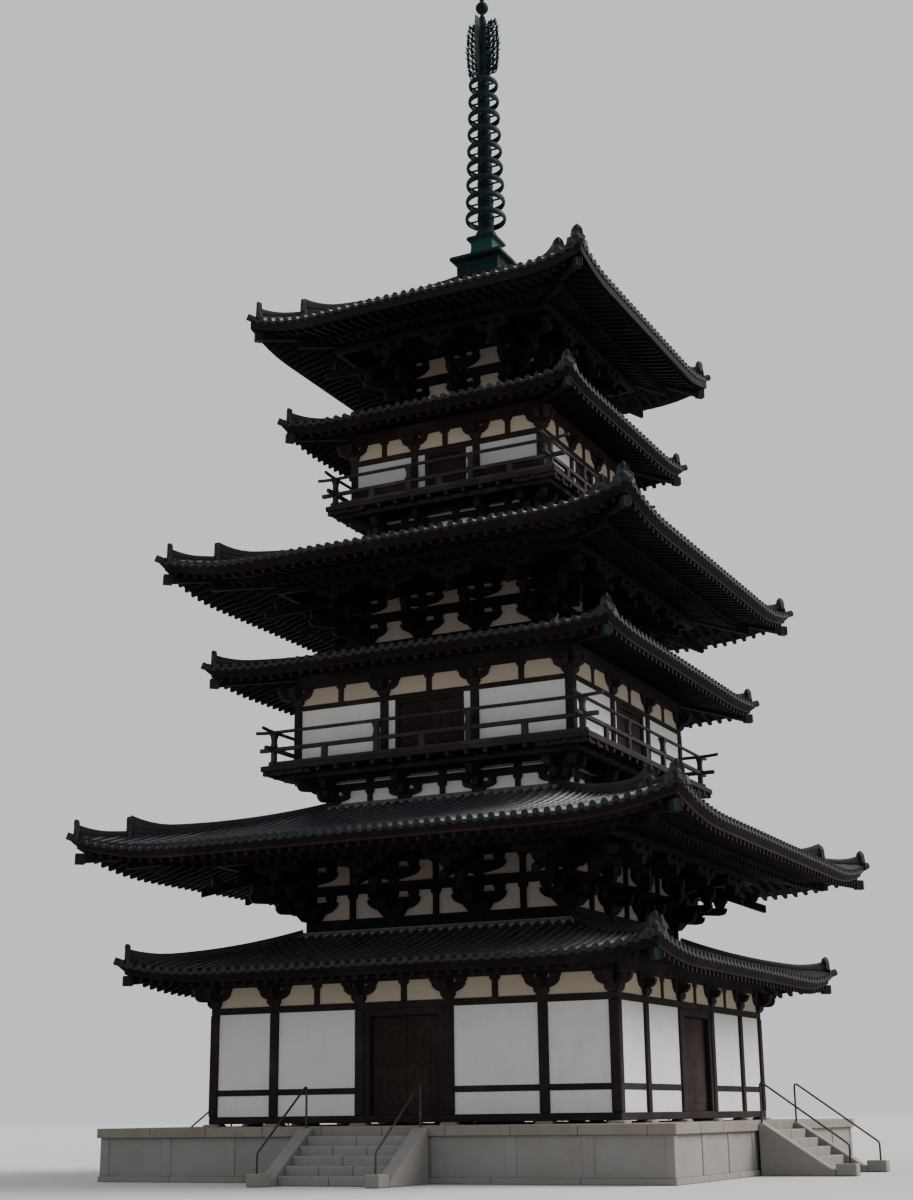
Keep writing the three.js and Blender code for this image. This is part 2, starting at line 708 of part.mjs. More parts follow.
// The body of a roof: rows of points round its section, zipped into one closed skin
function roofBody(roof, eaves) {
  const under = eaves.map((point) => eaveRow(roof, point)).reverse();
  const over = tileRowHalves(roof).map((half) => tileRow(roof, half));
  const rows = [...under, ...over];
  const triangles = rows.flatMap((row, number) => {
    const next = rows[(number + 1) % rows.length];
    const isTiled = number >= under.length && number < rows.length - 1;
    return zipRows(row, next, ([x, y]) => (isTiled ? x : -x / y));
  });
  const geometry = new THREE.BufferGeometry();
  geometry.setAttribute('position', new THREE.Float32BufferAttribute(triangles.flat(), 3));
  return mergeGeometries(around([geometry]));
}

function roofSolid(roof, eaves, stepped, rafterBack) {
  return join([
    roofBody(roof, eaves),
    ...around([hipRidge(roof, stepped), hipRafter(roof, eaves, rafterBack, stepped ? 240 : 200)]),
  ]);
}

// Centre pillar and finial
function heartPillar() {
  const { foot, top, radius } = PILLAR;
  const post = new THREE.CylinderGeometry(radius * 0.8, radius, top - foot - 2 * SEAT, 8);
  return post.rotateX(Math.PI / 2).translate(0, 0, (foot + top) / 2);
}

function squareTower(rows) {
  const profile = rows.map(([half, z]) => new THREE.Vector2(half * Math.SQRT2, z));
  profile.unshift(new THREE.Vector2(0, rows[0][1]));
  profile.push(new THREE.Vector2(0, rows[rows.length - 1][1]));
  const tower = new THREE.LatheGeometry(profile, 4, Math.PI / 4);
  return tower.rotateX(Math.PI / 2);
}

function roundTower(rows, sides) {
  const profile = rows.map(([radius, z]) => new THREE.Vector2(radius, z));
  profile.unshift(new THREE.Vector2(0, rows[0][1]));
  profile.push(new THREE.Vector2(0, rows[rows.length - 1][1]));
  return new THREE.LatheGeometry(profile, sides).rotateX(Math.PI / 2);
}

function finialBasin() {
  const { box, cornice, neck, lip, foot } = BASIN;
  const base = foot + SEAT;
  return join([
    squareTower([
      [box, base], [box, base + 450], [cornice, base + 500], [cornice, base + 640], [neck + 40, base + 800],
      [neck, base + 830], [neck, base + 1250], [lip, base + 1290], [lip, base + 1400], [neck * 0.7, base + 1420],
    ]),
    roundTower([[330, base + 1390], [320, base + 1560], [240, base + 1680]], 8),
  ]);
}

function finialRings() {
  const { count, firstZ, step, firstRadius, lastRadius, band } = RINGS;
  const foot = BASIN.foot + 1680 + 2 * SEAT;
  const pieces = [roundTower([[230, foot], [190, firstZ + 4 * step], [140, FLAME.foot - SEAT]], 8)];
  for (let ring = 0; ring < count; ring += 1) {
    const radius = firstRadius + (lastRadius - firstRadius) * ring / (count - 1);
    const z = firstZ + ring * step;
    const wheel = [
      [radius - 60, z - band / 2], [radius, z - band / 2], [radius, z + band / 2], [radius - 60, z + band / 2],
      [radius - 60, z - band / 2],
    ].map(([r, up]) => new THREE.Vector2(r, up));
    pieces.push(new THREE.LatheGeometry(wheel, 8).rotateX(Math.PI / 2));
    const spoke = block(-radius + 30, radius - 30, -30, 30, z - 40, z + 40);
    pieces.push(quarterTurn(spoke, ring % 2));
  }
  return join(pieces);
}

// An openwork flame of four scalloped fins
function finialFlame() {
  const { foot, top, half, thickness } = FLAME;
  const height = top - foot;
  const side = [
    [0.3, 0], [0.85, 0.15], [1, 0.32], [0.9, 0.43], [1, 0.55], [0.85, 0.75], [0.6, 0.95], [0.25, 1],
  ].map(([out, up]) => [out * half, foot + up * height]);
  const shape = outline([...side, ...side.map(([x, z]) => [-x, z]).reverse()]);
  for (const [out, up] of [[0.55, 0.3], [0.55, 0.65]]) {
    for (const hand of [-1, 1]) {
      const hole = new THREE.Path();
      hole.absarc(hand * out * half, foot + up * height, 150, 0, 2 * Math.PI, true);
      shape.holes.push(hole);
    }
  }
  const plate = new THREE.ExtrudeGeometry(shape, { depth: thickness, bevelEnabled: false, curveSegments: 3 });
  plate.rotateX(Math.PI / 2).translate(0, thickness / 2, 0);
  const shaft = roundTower([[120, foot], [100, top + 60]], 8);
  return join([plate, quarterTurn(plate, 1), shaft]);
}

function finialJewel() {
  const { ballZ, ballRadius, top } = JEWEL;
  const foot = FLAME.top + 60 + SEAT;
  const rows = [[90, foot], [60, foot + 60], [60, ballZ - ballRadius * 0.95]];
  for (const angle of [-50, -20, 10, 40]) {
    const turn = THREE.MathUtils.degToRad(angle);
    rows.push([ballRadius * Math.cos(turn), ballZ + ballRadius * Math.sin(turn)]);
  }
  rows.push([60, ballZ + ballRadius], [60, top - 620], [150, top - 480], [165, top - 350], [90, top - 150], [8, top]);
  return roundTower(rows, 10);
}

// Assembly
add('platform', platform(), 'stone');
SIDES.forEach((side, turns) => {
  add(`stair_${side}`, quarterTurn(toGeometry(stair()), turns), 'stone');
});
groundStorey(WALLS[0]);
upperStorey(WALLS[1]);
upperStorey(WALLS[2]);
CORES.forEach((core, storey) => {
  const pent = { ...PENT_ROOFS[storey], inner: core.half + core.post + FUSE + SEAT };
  const main = MAIN_ROOFS[storey];
  add(`core_plaster_${core.level}`, corePlaster(core), 'plaster');
  add(`core_frame_${core.level}`, coreFrame(core), 'timber');
  const pentBack = WALLS[storey].half + BEAM_OUT + 50;
  const mainBack = core.half + core.reach * 1.14 + 150;
  add(`pent_roof_${core.level}`, roofSolid(pent, pentEaves(pent), false, pentBack), 'tile');
  add(`main_roof_${core.level}`, roofSolid(main, mainEaves(main), true, mainBack), 'tile');
});
for (const balcony of BALCONIES) {
  balconyWall(balcony);
  add(`balcony_deck_${balcony.level}`, deck(balcony), 'timber');
  add(`balcony_railing_${balcony.level}`, railing(balcony), 'timber');
}
add('heart_pillar', heartPillar(), 'timber');
add('finial_basin', finialBasin(), 'bronze');
add('finial_rings', finialRings(), 'bronze');
add('finial_flame', finialFlame(), 'bronze');
add('finial_jewel', finialJewel(), 'bronze');

export default group;
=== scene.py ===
# %% [markdown]
# # A three-storey timber pagoda
# The plain model that is loaded first has every solid in its place: platform, walls, roofs, finial.
# This lesson gives each of them its real surface: tiles, rafters, brackets, planks and stones.
# Everything is in metres, +Z is up, and the front of the pagoda faces -Y.

# %% Load the plain model
import math
import random
from collections import namedtuple

import bmesh
import bpy
import numpy as np
from mathutils import Matrix, Vector


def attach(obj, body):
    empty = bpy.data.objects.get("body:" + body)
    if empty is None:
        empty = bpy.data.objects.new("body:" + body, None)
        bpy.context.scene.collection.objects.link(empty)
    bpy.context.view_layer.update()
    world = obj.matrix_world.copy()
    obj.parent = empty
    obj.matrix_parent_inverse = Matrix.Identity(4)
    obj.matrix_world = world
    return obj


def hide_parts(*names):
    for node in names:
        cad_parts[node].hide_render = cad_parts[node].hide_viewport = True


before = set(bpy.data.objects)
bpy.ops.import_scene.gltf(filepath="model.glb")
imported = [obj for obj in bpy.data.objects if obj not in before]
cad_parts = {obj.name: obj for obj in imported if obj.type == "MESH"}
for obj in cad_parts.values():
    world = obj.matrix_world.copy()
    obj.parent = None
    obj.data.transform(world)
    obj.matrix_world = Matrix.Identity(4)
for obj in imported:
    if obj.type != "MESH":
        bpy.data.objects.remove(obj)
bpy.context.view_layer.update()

SIDES = ["front", "right", "back", "left"]

# %% [markdown]
# ## Camera
# The photograph was taken from the ground, to the right of the front stair, with a normal lens turned
# upwards. A camera is placed by its position and by three directions: right, up and backwards. They could
# be set with a Track To constraint, but a matrix also holds the slight tilt of the hand-held camera.

# %% Place the camera
EYE = Vector((19.814, -42.558, 1.4185))
TURN, PITCH, TILT = 0.457294, 0.286378, -0.0120426
FOCAL_PIXELS, PHOTO_HEIGHT, SENSOR = 1749.68, 1200, 36

ahead = Vector((-math.sin(TURN) * math.cos(PITCH), math.cos(TURN) * math.cos(PITCH), math.sin(PITCH)))
level = Vector((math.cos(TURN), math.sin(TURN), 0))
upright = level.cross(ahead)
right = level * math.cos(TILT) + upright * math.sin(TILT)
up = upright * math.cos(TILT) - level * math.sin(TILT)
lens = bpy.data.cameras.new("photo_camera")
lens.lens, lens.sensor_width, lens.clip_end = FOCAL_PIXELS / PHOTO_HEIGHT * SENSOR, SENSOR, 500
camera = bpy.data.objects.new("photo_camera", lens)
camera.matrix_world = Matrix.Translation(EYE) @ Matrix((right, up, -ahead)).transposed().to_4x4()
bpy.context.scene.collection.objects.link(camera)
bpy.context.scene.camera = camera
print("camera lens", round(lens.lens, 2), "mm")

# %% [markdown]
# ## Floor and light
# A plain pale floor carries the pagoda. The photograph has an overcast sky, so the light is soft: a pale
# world, and one large soft sun behind the right corner, which puts a sheen on the tiles of that side.

# %% Floor and light
FLOOR_SIZE, FLOOR_TONE = 900, (0.50, 0.49, 0.47, 1)
SKY_TONE, SKY_STRENGTH = (0.80, 0.83, 0.85, 1), 0.96
SUN_TONE, SUN_ENERGY, SUN_WIDTH, SUN_TILT, SUN_TURN = (1.0, 0.97, 0.92), 5.1, 40, 52, 126
bpy.ops.object.select_all(action="DESELECT")
bpy.ops.mesh.primitive_plane_add(size=FLOOR_SIZE, location=(0, 0, -0.002))
floor = bpy.context.object
floor.name = "floor"
floor_finish = bpy.data.materials.new("floor_pale")
floor_finish.use_nodes = True
floor_shader = floor_finish.node_tree.nodes["Principled BSDF"]
floor_shader.inputs["Base Color"].default_value = FLOOR_TONE
floor_shader.inputs["Roughness"].default_value = 0.9
floor.data.materials.append(floor_finish)

world = bpy.data.worlds.new("pale_sky")
world.use_nodes = True
world.node_tree.nodes["Background"].inputs["Color"].default_value = SKY_TONE
world.node_tree.nodes["Background"].inputs["Strength"].default_value = SKY_STRENGTH
bpy.context.scene.world = world

sun = bpy.data.lights.new("soft_sun", "SUN")
sun.energy, sun.angle, sun.color = SUN_ENERGY, math.radians(SUN_WIDTH), SUN_TONE
lamp = bpy.data.objects.new("soft_sun", sun)
lamp.rotation_euler = (math.radians(SUN_TILT), 0, math.radians(SUN_TURN))
bpy.context.scene.collection.objects.link(lamp)
print("floor and light are set")

# %% [markdown]
# ## Shader maths as plain arithmetic
# A finish is a small network of nodes. Wiring it by hand is slow to read, so one class wraps an output
# socket: `a * b + 1` on two of them adds the Math nodes. Everything else comes from its one method `node`.

# %% The wire class
class Wire:
    """An output socket in a node tree, on which Python's own operators work."""

    def __init__(self, tree, socket=None):
        self.tree = tree
        self.socket = socket

    def node(self, kind, settings=None, sockets=None, output=0):
        """Add a node, set it up, then give its sockets their values or links."""
        made = self.tree.nodes.new(kind)
        for key, value in (settings or {}).items():
            setattr(made, key, value)
        for key, value in (sockets or {}).items():
            if isinstance(value, Wire):
                self.tree.links.new(value.socket, made.inputs[key])
            else:
                made.inputs[key].default_value = value
        return Wire(self.tree, made.outputs[output])

    def maths(self, operation, first, second):
        return self.node("ShaderNodeMath", {"operation": operation}, {0: first, 1: second})

    def __add__(self, other):
        return self.maths("ADD", self, other)

    def __rsub__(self, other):
        return self.maths("SUBTRACT", other, self)

    def __mul__(self, other):
        return self.maths("MULTIPLY", self, other)

    def __gt__(self, other):
        return self.maths("GREATER_THAN", self, other)

    __radd__ = __add__
    __rmul__ = __mul__

    def between(self, low, high):
        """0 below low, 1 above high, and a straight line between them."""
        sockets = {"Value": self, "From Min": low, "From Max": high}
        return self.node("ShaderNodeMapRange", {"clamp": True}, sockets)

    def mix(self, share, first, second):
        """Two colours mixed by a share from 0 to 1; a tone is given as red, green and blue."""
        first, second = ((*tone, 1) if isinstance(tone, tuple) else tone for tone in (first, second))
        return self.node("ShaderNodeMix", {"data_type": "RGBA"}, {0: share, 6: first, 7: second}, 2)

    def place(self):
        """Object coordinates."""
        return self.node("ShaderNodeTexCoord", output=3)

    def grain(self):
        """The map of a piece: how far along its grain and across it a point lies."""
        return self.node("ShaderNodeUVMap", {"uv_map": "grain"})

    def noise(self, place, scale, detail=3.0, rough=0.55):
        sockets = {"Vector": place, "Scale": scale, "Detail": detail, "Roughness": rough}
        return self.node("ShaderNodeTexNoise", {}, sockets)

    def scaled(self, place, size):
        """A place stretched by a factor along each axis."""
        return self.node("ShaderNodeVectorMath", {"operation": "MULTIPLY"}, {0: place, 1: size})

    def height_of(self, place):
        return self.node("ShaderNodeSeparateXYZ", {}, {0: place}, 2)


def finish(name, build, bump=0.004, **uniform):
    """A material: build(wire) gives its colour, its roughness and the height that its bumps follow."""
    material = bpy.data.materials.new(name)
    material.use_nodes = True
    tree = material.node_tree
    shader = tree.nodes["Principled BSDF"]
    wire = Wire(tree)
    colour, roughness, height = build(wire)
    normal = wire.node("ShaderNodeBump", {}, {"Strength": 1.0, "Distance": bump, "Height": height})
    for key, value in (("Base Color", colour), ("Roughness", roughness), ("Normal", normal)):
        tree.links.new(value.socket, shader.inputs[key])
    for key, value in uniform.items():
        shader.inputs[key.replace("_", " ")].default_value = value
    return material


print("the wire class is ready")

# %% [markdown]
# ## Timber
# The timber is unpainted and centuries old: greyer where rain reaches it, redder along the lowest great
# eave, with fine cracks along the grain. Under the eaves it stands in deep shade, and that shade is painted
# into the finish: rafters, beds, hip rafters, cores and most eave boards get darker, nearly black brown
# copies of the timber. The grain has to run along each beam, whatever way the beam points, so each piece
# carries its own map, named grain, in metres along the beam and across it. A noise that is squeezed across
# and stretched along gives the fibres.

# %% Timber finishes
MATT = {"Specular_IOR_Level": 0.08}
# The brown and eave tones are painted shade: darker copies of the timber for boards and rafters under the
# eaves.
WOODS = {
    "dark": ((0.012, 0.0085, 0.0092), (0.031, 0.0228, 0.0235), (0.049, 0.039, 0.040)),
    "brown": ((0.006, 0.0026, 0.0024), (0.017, 0.0078, 0.0068), (0.026, 0.015, 0.013)),
    "door": ((0.013, 0.0084, 0.0078), (0.038, 0.024, 0.0215), (0.058, 0.042, 0.038)),
    "rail": ((0.017, 0.013, 0.014), (0.050, 0.041, 0.043), (0.085, 0.077, 0.080)),
    "eave": ((0.005, 0.0037, 0.0043), (0.013, 0.0095, 0.0102), (0.022, 0.0175, 0.0185)),
    "red": ((0.012, 0.0052, 0.004), (0.040, 0.019, 0.0135), (0.052, 0.029, 0.022)),
}


def timber(dark, light, worn):
    """A builder for weathered timber from its dark, light and worn tones."""
    def build(wire):
        grain = wire.grain()
        fibres = wire.noise(wire.scaled(grain, (1.5, 45, 1)), 2.0, 5.0, 0.65)
        bands = wire.noise(wire.scaled(grain, (0.35, 6, 1)), 1.3)
        patches = wire.noise(wire.place(), 0.9, 4.0)
        colour = wire.mix(fibres.between(0.35, 0.7), dark, light)
        colour = wire.mix(bands.between(0.45, 0.75) * 0.5, colour, dark)
        colour = wire.mix(patches.between(0.52, 0.75) * 0.55, colour, worn)
        return colour, 0.62 + fibres * 0.3, fibres.between(0.28, 0.42) * 0.7 + fibres * 0.3
    return build


wood = {name: finish("timber_" + name, timber(*tones), **MATT) for name, tones in WOODS.items()}
print("timber:", ", ".join(wood))

# %% [markdown]
# ## Plaster
# The panels are white lime plaster, dusty and streaked by rain. Behind the brackets they are in deep
# shade, which is painted as a darker cream tone. The cores under the great eaves, the lower panels of the
# third storey and the slits under the balcony decks also get darker tones that are painted shade. One
# finish does all: it changes from the lower to the upper tone at the height of the beam between two rows
# of panels.

# %% Plaster finish
# Apart from the base white, these tones are painted shade: the cream band behind the brackets, the third
# storey, the cores and the slits. The cloud and streak tones are dust and rain marks.
WHITE, SHADE_WHITE, SHADE_CREAM = (0.60, 0.60, 0.59), (0.42, 0.42, 0.43), (0.42, 0.35, 0.272)
CORE_SHADE_WHITE, CORE_SHADE_CREAM, SHADED = (0.30, 0.245, 0.21), (0.24, 0.185, 0.15), (0.15, 0.13, 0.128)
CLOUD, STREAK = (0.36, 0.34, 0.31), (0.28, 0.26, 0.23)
PANELS_OF = {
    **{f"ground_plaster_{side}": (3.93, WHITE, SHADE_CREAM) for side in SIDES},
    "storey_plaster_2": (11.73, WHITE, SHADE_CREAM), "storey_plaster_3": (18.78, SHADE_WHITE, SHADE_CREAM),
    "core_plaster_1": (6.94, CORE_SHADE_WHITE, CORE_SHADE_CREAM), "core_plaster_2": (14.32, CORE_SHADE_WHITE, CORE_SHADE_CREAM),
    "core_plaster_3": (21.40, CORE_SHADE_WHITE, CORE_SHADE_CREAM), "balcony_plaster_2": (9.8, WHITE, SHADED),
    "balcony_plaster_3": (17.15, WHITE, SHADED),
}


def plaster(upper_from, lower, upper):
    def build(wire):
        place = wire.place()
        clouds = wire.noise(place, 1.4, 5.0, 0.6)
        streaks = wire.noise(wire.scaled(place, (5, 5, 0.6)), 1.6, 4.0)
        grit = wire.noise(place, 60.0)
        # Above this height the panels take the upper tone, which is painted shade.
        colour = wire.mix(wire.height_of(place) > upper_from, lower, upper)
        colour = wire.mix(clouds.between(0.45, 0.75) * 0.2, colour, CLOUD)
        colour = wire.mix(streaks.between(0.52, 0.8) * 0.14, colour, STREAK)
        return colour, 0.82 + grit * 0.12, grit * 0.5 + clouds
    return build


def dress(node, coat):
    """Give a plain node another finish."""
    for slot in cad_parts[node].material_slots:
        slot.material = coat


for node, tones in PANELS_OF.items():
    dress(node, finish("plaster_" + node, plaster(*tones), bump=0.003))
print("plaster on", len(PANELS_OF), "walls")

# %% [markdown]
# ## Tile, stone and metal
# The roof tiles are fired clay, blue-grey with a slight sheen, each tile a little different. The round
# end tiles and the hip ridges get a darker copy of the clay, which is painted shade. The map of the tile
# pieces counts tiles: one whole unit per tile each way, so a white noise on the rounded-down map gives each
# tile its own tone. The stones are granite with brown stains on the cap. The finial and the caps on the hip
# rafters are bronze with a green patina, which is brightest on the neck under the rings.

# %% Tile, stone and metal finishes
def fired_clay(dark, light, worn, rough):
    def build(wire):
        place = wire.place()
        cell = wire.node("ShaderNodeVectorMath", {"operation": "FLOOR"}, {0: wire.grain()})
        single = wire.node("ShaderNodeTexWhiteNoise", {"noise_dimensions": "2D"}, {"Vector": cell})
        clouds = wire.noise(place, 0.7, 5.0, 0.6)
        grit = wire.noise(place, 38.0, 4.0)
        colour = wire.mix(single, dark, light)
        colour = wire.mix(clouds.between(0.45, 0.72) * 0.4, colour, worn)
        colour = wire.mix(grit.between(0.55, 0.8) * 0.25, colour, worn)
        return colour, rough + clouds * 0.18 + single * 0.06, grit
    return build


def granite(base, stain, low):
    def build(wire):
        place = wire.place()
        speck = wire.noise(place, 90.0, 2.0)
        grains = wire.node("ShaderNodeTexVoronoi", {}, {"Vector": place, "Scale": 55.0})
        clouds = wire.noise(place, 1.1, 5.0, 0.62)
        foot = 1 - wire.height_of(place).between(0.0, 0.35)
        colour = wire.mix(speck.between(0.4, 0.62), low, base)
        colour = wire.mix(grains.between(0.0, 0.25) * 0.25, low, colour)
        colour = wire.mix(clouds.between(0.42, 0.7) * 0.65, colour, stain)
        colour = wire.mix(foot * 0.35, colour, stain)
        return colour, 0.75 + speck * 0.2, speck * 0.5 + clouds * 2
    return build


def bronze(dark, green, pale, neck=None):
    """`neck` gives two heights and the patina between them."""
    def build(wire):
        place = wire.place()
        clouds = wire.noise(place, 2.6, 5.0, 0.62)
        runs = wire.noise(wire.scaled(place, (9, 9, 0.8)), 1.5, 4.0)
        patina = clouds.between(0.36, 0.6)
        colour = wire.mix(patina, dark, green)
        colour = wire.mix(runs.between(0.55, 0.8) * 0.6, colour, pale)
        if neck:
            low, top, tone = neck
            height = wire.height_of(place)
            inside = (height > low) * (1 - (height > top))
            colour = wire.mix(inside * (clouds * 0.5 + 0.6), colour, tone)
        return colour, 0.42 + patina * 0.35, clouds + runs * 0.3
    return build


def worn_iron(wire):
    worn = wire.noise(wire.place(), 14.0, 4.0)
    colour = wire.mix(worn.between(0.5, 0.75), (0.035, 0.030, 0.030), (0.10, 0.065, 0.05))
    return colour, 0.4 + worn * 0.3, worn


ROOF_CLAY = ((0.020, 0.022, 0.028), (0.034, 0.037, 0.045), (0.052, 0.051, 0.052), 0.25)
# A darker copy of the roof clay for the tile ends and ridges: painted shade.
SHADED_CLAY = ((0.012, 0.013, 0.017), (0.020, 0.022, 0.027), (0.030, 0.030, 0.031), 0.55)
OLD_BRONZE = ((0.004, 0.006, 0.009), (0.006, 0.017, 0.019), (0.014, 0.034, 0.034))
CAP_BRONZE = ((0.008, 0.009, 0.009), (0.012, 0.021, 0.0165), (0.032, 0.056, 0.044))
NECK = (25.69, 26.27, (0.009, 0.046, 0.039))
DULL = {"Metallic": 0.0, "Specular_IOR_Level": 0.06}
tile = finish("tile_fired", fired_clay(*ROOF_CLAY), bump=0.002, Specular_IOR_Level=0.7)
shaded_clay = finish("tile_end", fired_clay(*SHADED_CLAY), bump=0.002, Specular_IOR_Level=0.2)
stone = finish("granite_pale", granite((0.285, 0.268, 0.255), (0.16, 0.143, 0.126), (0.187, 0.178, 0.17)))
cap_stone = finish("granite_cap", granite((0.265, 0.233, 0.20), (0.128, 0.102, 0.08), (0.172, 0.15, 0.129)))
finial_bronze = finish("bronze_dark", bronze(*OLD_BRONZE), **DULL)
basin_bronze = finish("bronze_basin", bronze(*OLD_BRONZE, NECK), **DULL)
cap_bronze = finish("bronze_green", bronze(*CAP_BRONZE), **DULL)
iron = finish("iron_rail", worn_iron, bump=0.001, Metallic=0.6)
print("tile, tile ends, granite, bronze and iron")

# %% [markdown]
# ## Working as by hand, in code
# Every new piece starts as a primitive at its size and place and is shaped in edit mode. Operators act
# on what is selected, so the first helpers clear the selection, and `pick` selects faces or edges by
# where their middle lies. What repeats is modelled once; `copies` gives each copy its own mesh.

# %% Selecting and starting a piece
random.seed(7)
QUARTER = math.pi / 2


def deselect():
    bpy.ops.object.select_all(action="DESELECT")


def choose(pieces):
    """Select these pieces only; the first is the active one."""
    deselect()
    for piece in pieces:
        piece.select_set(True)
    bpy.context.view_layer.objects.active = pieces[0]


def joined(parts):
    choose(parts)
    if len(parts) > 1:
        bpy.ops.object.join()
    return bpy.context.object


def applied():
    """The active piece, with its place, turn and size put into its mesh."""
    bpy.ops.object.transform_apply(location=True, rotation=True, scale=True)
    return bpy.context.object


def cube(low, high):
    """A cube primitive that fills the space between two corners."""
    deselect()
    low, high = Vector(low), Vector(high)
    bpy.ops.mesh.primitive_cube_add(size=1, location=(low + high) / 2)
    bpy.context.object.scale = high - low
    return applied()


def box(x, out, foot, top, wide, deep):
    """A cube on the front side, centred on x and on a distance out from the middle of the pagoda."""
    return cube((x - wide / 2, -out - deep / 2, foot), (x + wide / 2, -out + deep / 2, top))


def cylinder(sides, radius, depth, place, turn=(0, 0, 0), caps="NGON"):
    deselect()
    bpy.ops.mesh.primitive_cylinder_add(
        vertices=sides, radius=radius, depth=depth, end_fill_type=caps, location=place, rotation=turn,
    )
    return applied()


# %% Steps in edit mode
def edit_mode():
    bpy.ops.object.mode_set(mode="EDIT")
    bpy.ops.mesh.select_all(action="SELECT")


def object_mode():
    bpy.ops.object.mode_set(mode="OBJECT")
    return bpy.context.object


def pick(kind, test):
    """Select the faces or edges that pass a test on their middle and on themselves."""
    bpy.ops.mesh.select_mode(type=kind)
    bpy.ops.mesh.select_all(action="DESELECT")
    shape = bmesh.from_edit_mesh(bpy.context.object.data)
    for item in shape.faces if kind == "FACE" else shape.edges:
        if test(sum((point.co for point in item.verts), Vector()) / len(item.verts), item):
            item.select_set(True)
    bmesh.update_edit_mesh(bpy.context.object.data)


def pick_facing(way, least=0.9):
    """Select the faces whose normal points a way such as +z or -y."""
    sign, axis = int(way[0] + "1"), "xyz".index(way[1])
    pick("FACE", lambda middle, face: sign * face.normal[axis] > least)


def bevel(offset, segments=1, **more):
    bpy.ops.mesh.bevel(offset=offset, segments=segments, affect="EDGES", **more)


def extrude(rise):
    bpy.ops.mesh.extrude_region_move(TRANSFORM_OT_translate={"value": (0, 0, rise)})


def move(*way):
    bpy.ops.transform.translate(value=way)


def widen(x, y, centre):
    bpy.ops.transform.resize(value=(x, y, 1), center_override=centre)


def sunk(border, *way):
    """Inset the picked faces and move their inner part."""
    bpy.ops.mesh.inset(thickness=border)
    move(*way)


def recessed(border, depth, each=False):
    """Inset the picked faces and extrude their inner part along its normal."""
    bpy.ops.mesh.inset(thickness=border, use_individual=each)
    bpy.ops.mesh.extrude_region_shrink_fatten(TRANSFORM_OT_shrink_fatten={"value": depth})


def cut(point, normal, fill=False):
    """Cut off all that lies beyond a plane."""
    bpy.ops.mesh.select_all(action="SELECT")
    bpy.ops.mesh.bisect(plane_co=point, plane_no=normal, clear_outer=True, use_fill=fill)


# %% Moving points and laying the grain
def points_of(piece):
    points = np.empty(3 * len(piece.data.vertices))
    piece.data.vertices.foreach_get("co", points)
    return points.reshape(-1, 3)


def reshape(piece, rule):
    """Move every point by a rule that takes the arrays x, y and z and gives three arrays."""
    moved = np.column_stack(np.broadcast_arrays(*rule(*points_of(piece).T)))
    piece.data.vertices.foreach_set("co", np.ascontiguousarray(moved, float).ravel())
    piece.data.update()
    return piece


def lay_grain(piece, along="X", unit=None):
    """Give a piece its grain map: along it and across it in metres, or in whole tiles."""
    mesh = piece.data
    while mesh.uv_layers:
        mesh.uv_layers.remove(mesh.uv_layers[0])
    layer = mesh.uv_layers.new(name="grain")
    points = points_of(piece)
    corners = np.empty(len(mesh.loops), np.int32)
    mesh.loops.foreach_get("vertex_index", corners)
    if unit:
        grain = points[:, :2] / np.array(unit) + 0.5
    else:
        length = points[:, "XYZ".index(along)]
        grain = np.column_stack((length, points.sum(axis=1) - length)) + random.uniform(0, 40)
    layer.uv.foreach_set("vector", grain[corners].astype(np.float32).ravel())
    return piece


def slide_grain(piece):
    layer = piece.data.uv_layers["grain"]
    grain = np.empty(2 * len(layer.uv), np.float32)
    layer.uv.foreach_get("vector", grain)
    grain += random.uniform(1, 40)
    layer.uv.foreach_set("vector", grain)


def eased(piece, along="X", ease=0.012):
    """Take the sharpness off the edges of a squared timber or stone."""
    edit_mode()
    bevel(ease)
    object_mode()
    return lay_grain(piece, along)


def beam(low, high, along="X", ease=0.012):
    return eased(cube(low, high), along, ease)


# %% Copying and finishing a piece
def shift(x=0.0, y=0.0, z=0.0):
    return Matrix.Translation((x, y, z))


def spin(degrees):
    return Matrix.Rotation(math.radians(degrees), 4, "Z")


def on_corner(out, z=0.0):
    """The place of a part on the front right corner, turned to the diagonal."""
    return shift(out, -out, z) @ spin(45)


QUARTERS = [spin(90 * turns) for turns in range(4)]


def copies(template, places):
    """One copy of a piece at each place, each with its own mesh; the piece itself is used up."""
    made = []
    for place in places:
        copy = template.copy()
        copy.data = template.data.copy()
        copy.data.transform(place)
        bpy.context.scene.collection.objects.link(copy)
        slide_grain(copy)
        made.append(copy)
    bpy.data.objects.remove(template)
    return made


def around(parts):
    """Join the parts of the front and repeat them on all four sides."""
    return copies(joined(parts), QUARTERS)


def repeated(piece, count, step):
    """An array modifier, applied: count copies, each a step further on."""
    choose([piece])
    row = piece.modifiers.new("row", "ARRAY")
    row.count, row.constant_offset_displace = count, step
    row.use_relative_offset, row.use_constant_offset = False, True
    row.use_merge_vertices, row.merge_threshold = True, 0.0005
    bpy.ops.object.modifier_apply(modifier="row")
    return piece


def done(name, parts, material, stands_for=(), body="pagoda", smooth=None):
    """Join parts into one named piece, give it its finish, and let it ride on its body."""
    piece = joined(parts)
    piece.name = name
    piece.data.name = name
    piece.data.materials.clear()
    piece.data.materials.append(material)
    if smooth:
        bpy.ops.object.shade_smooth_by_angle(angle=math.radians(smooth))
    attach(piece, body)
    if stands_for:
        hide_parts(*stands_for)
    piece.data.calc_loop_triangles()
    print(name, len(piece.data.loop_triangles), "triangles")


def mirrored(places):
    return [x for place in places for x in ([0] if place == 0 else [-place, place])]


print("helpers are ready")

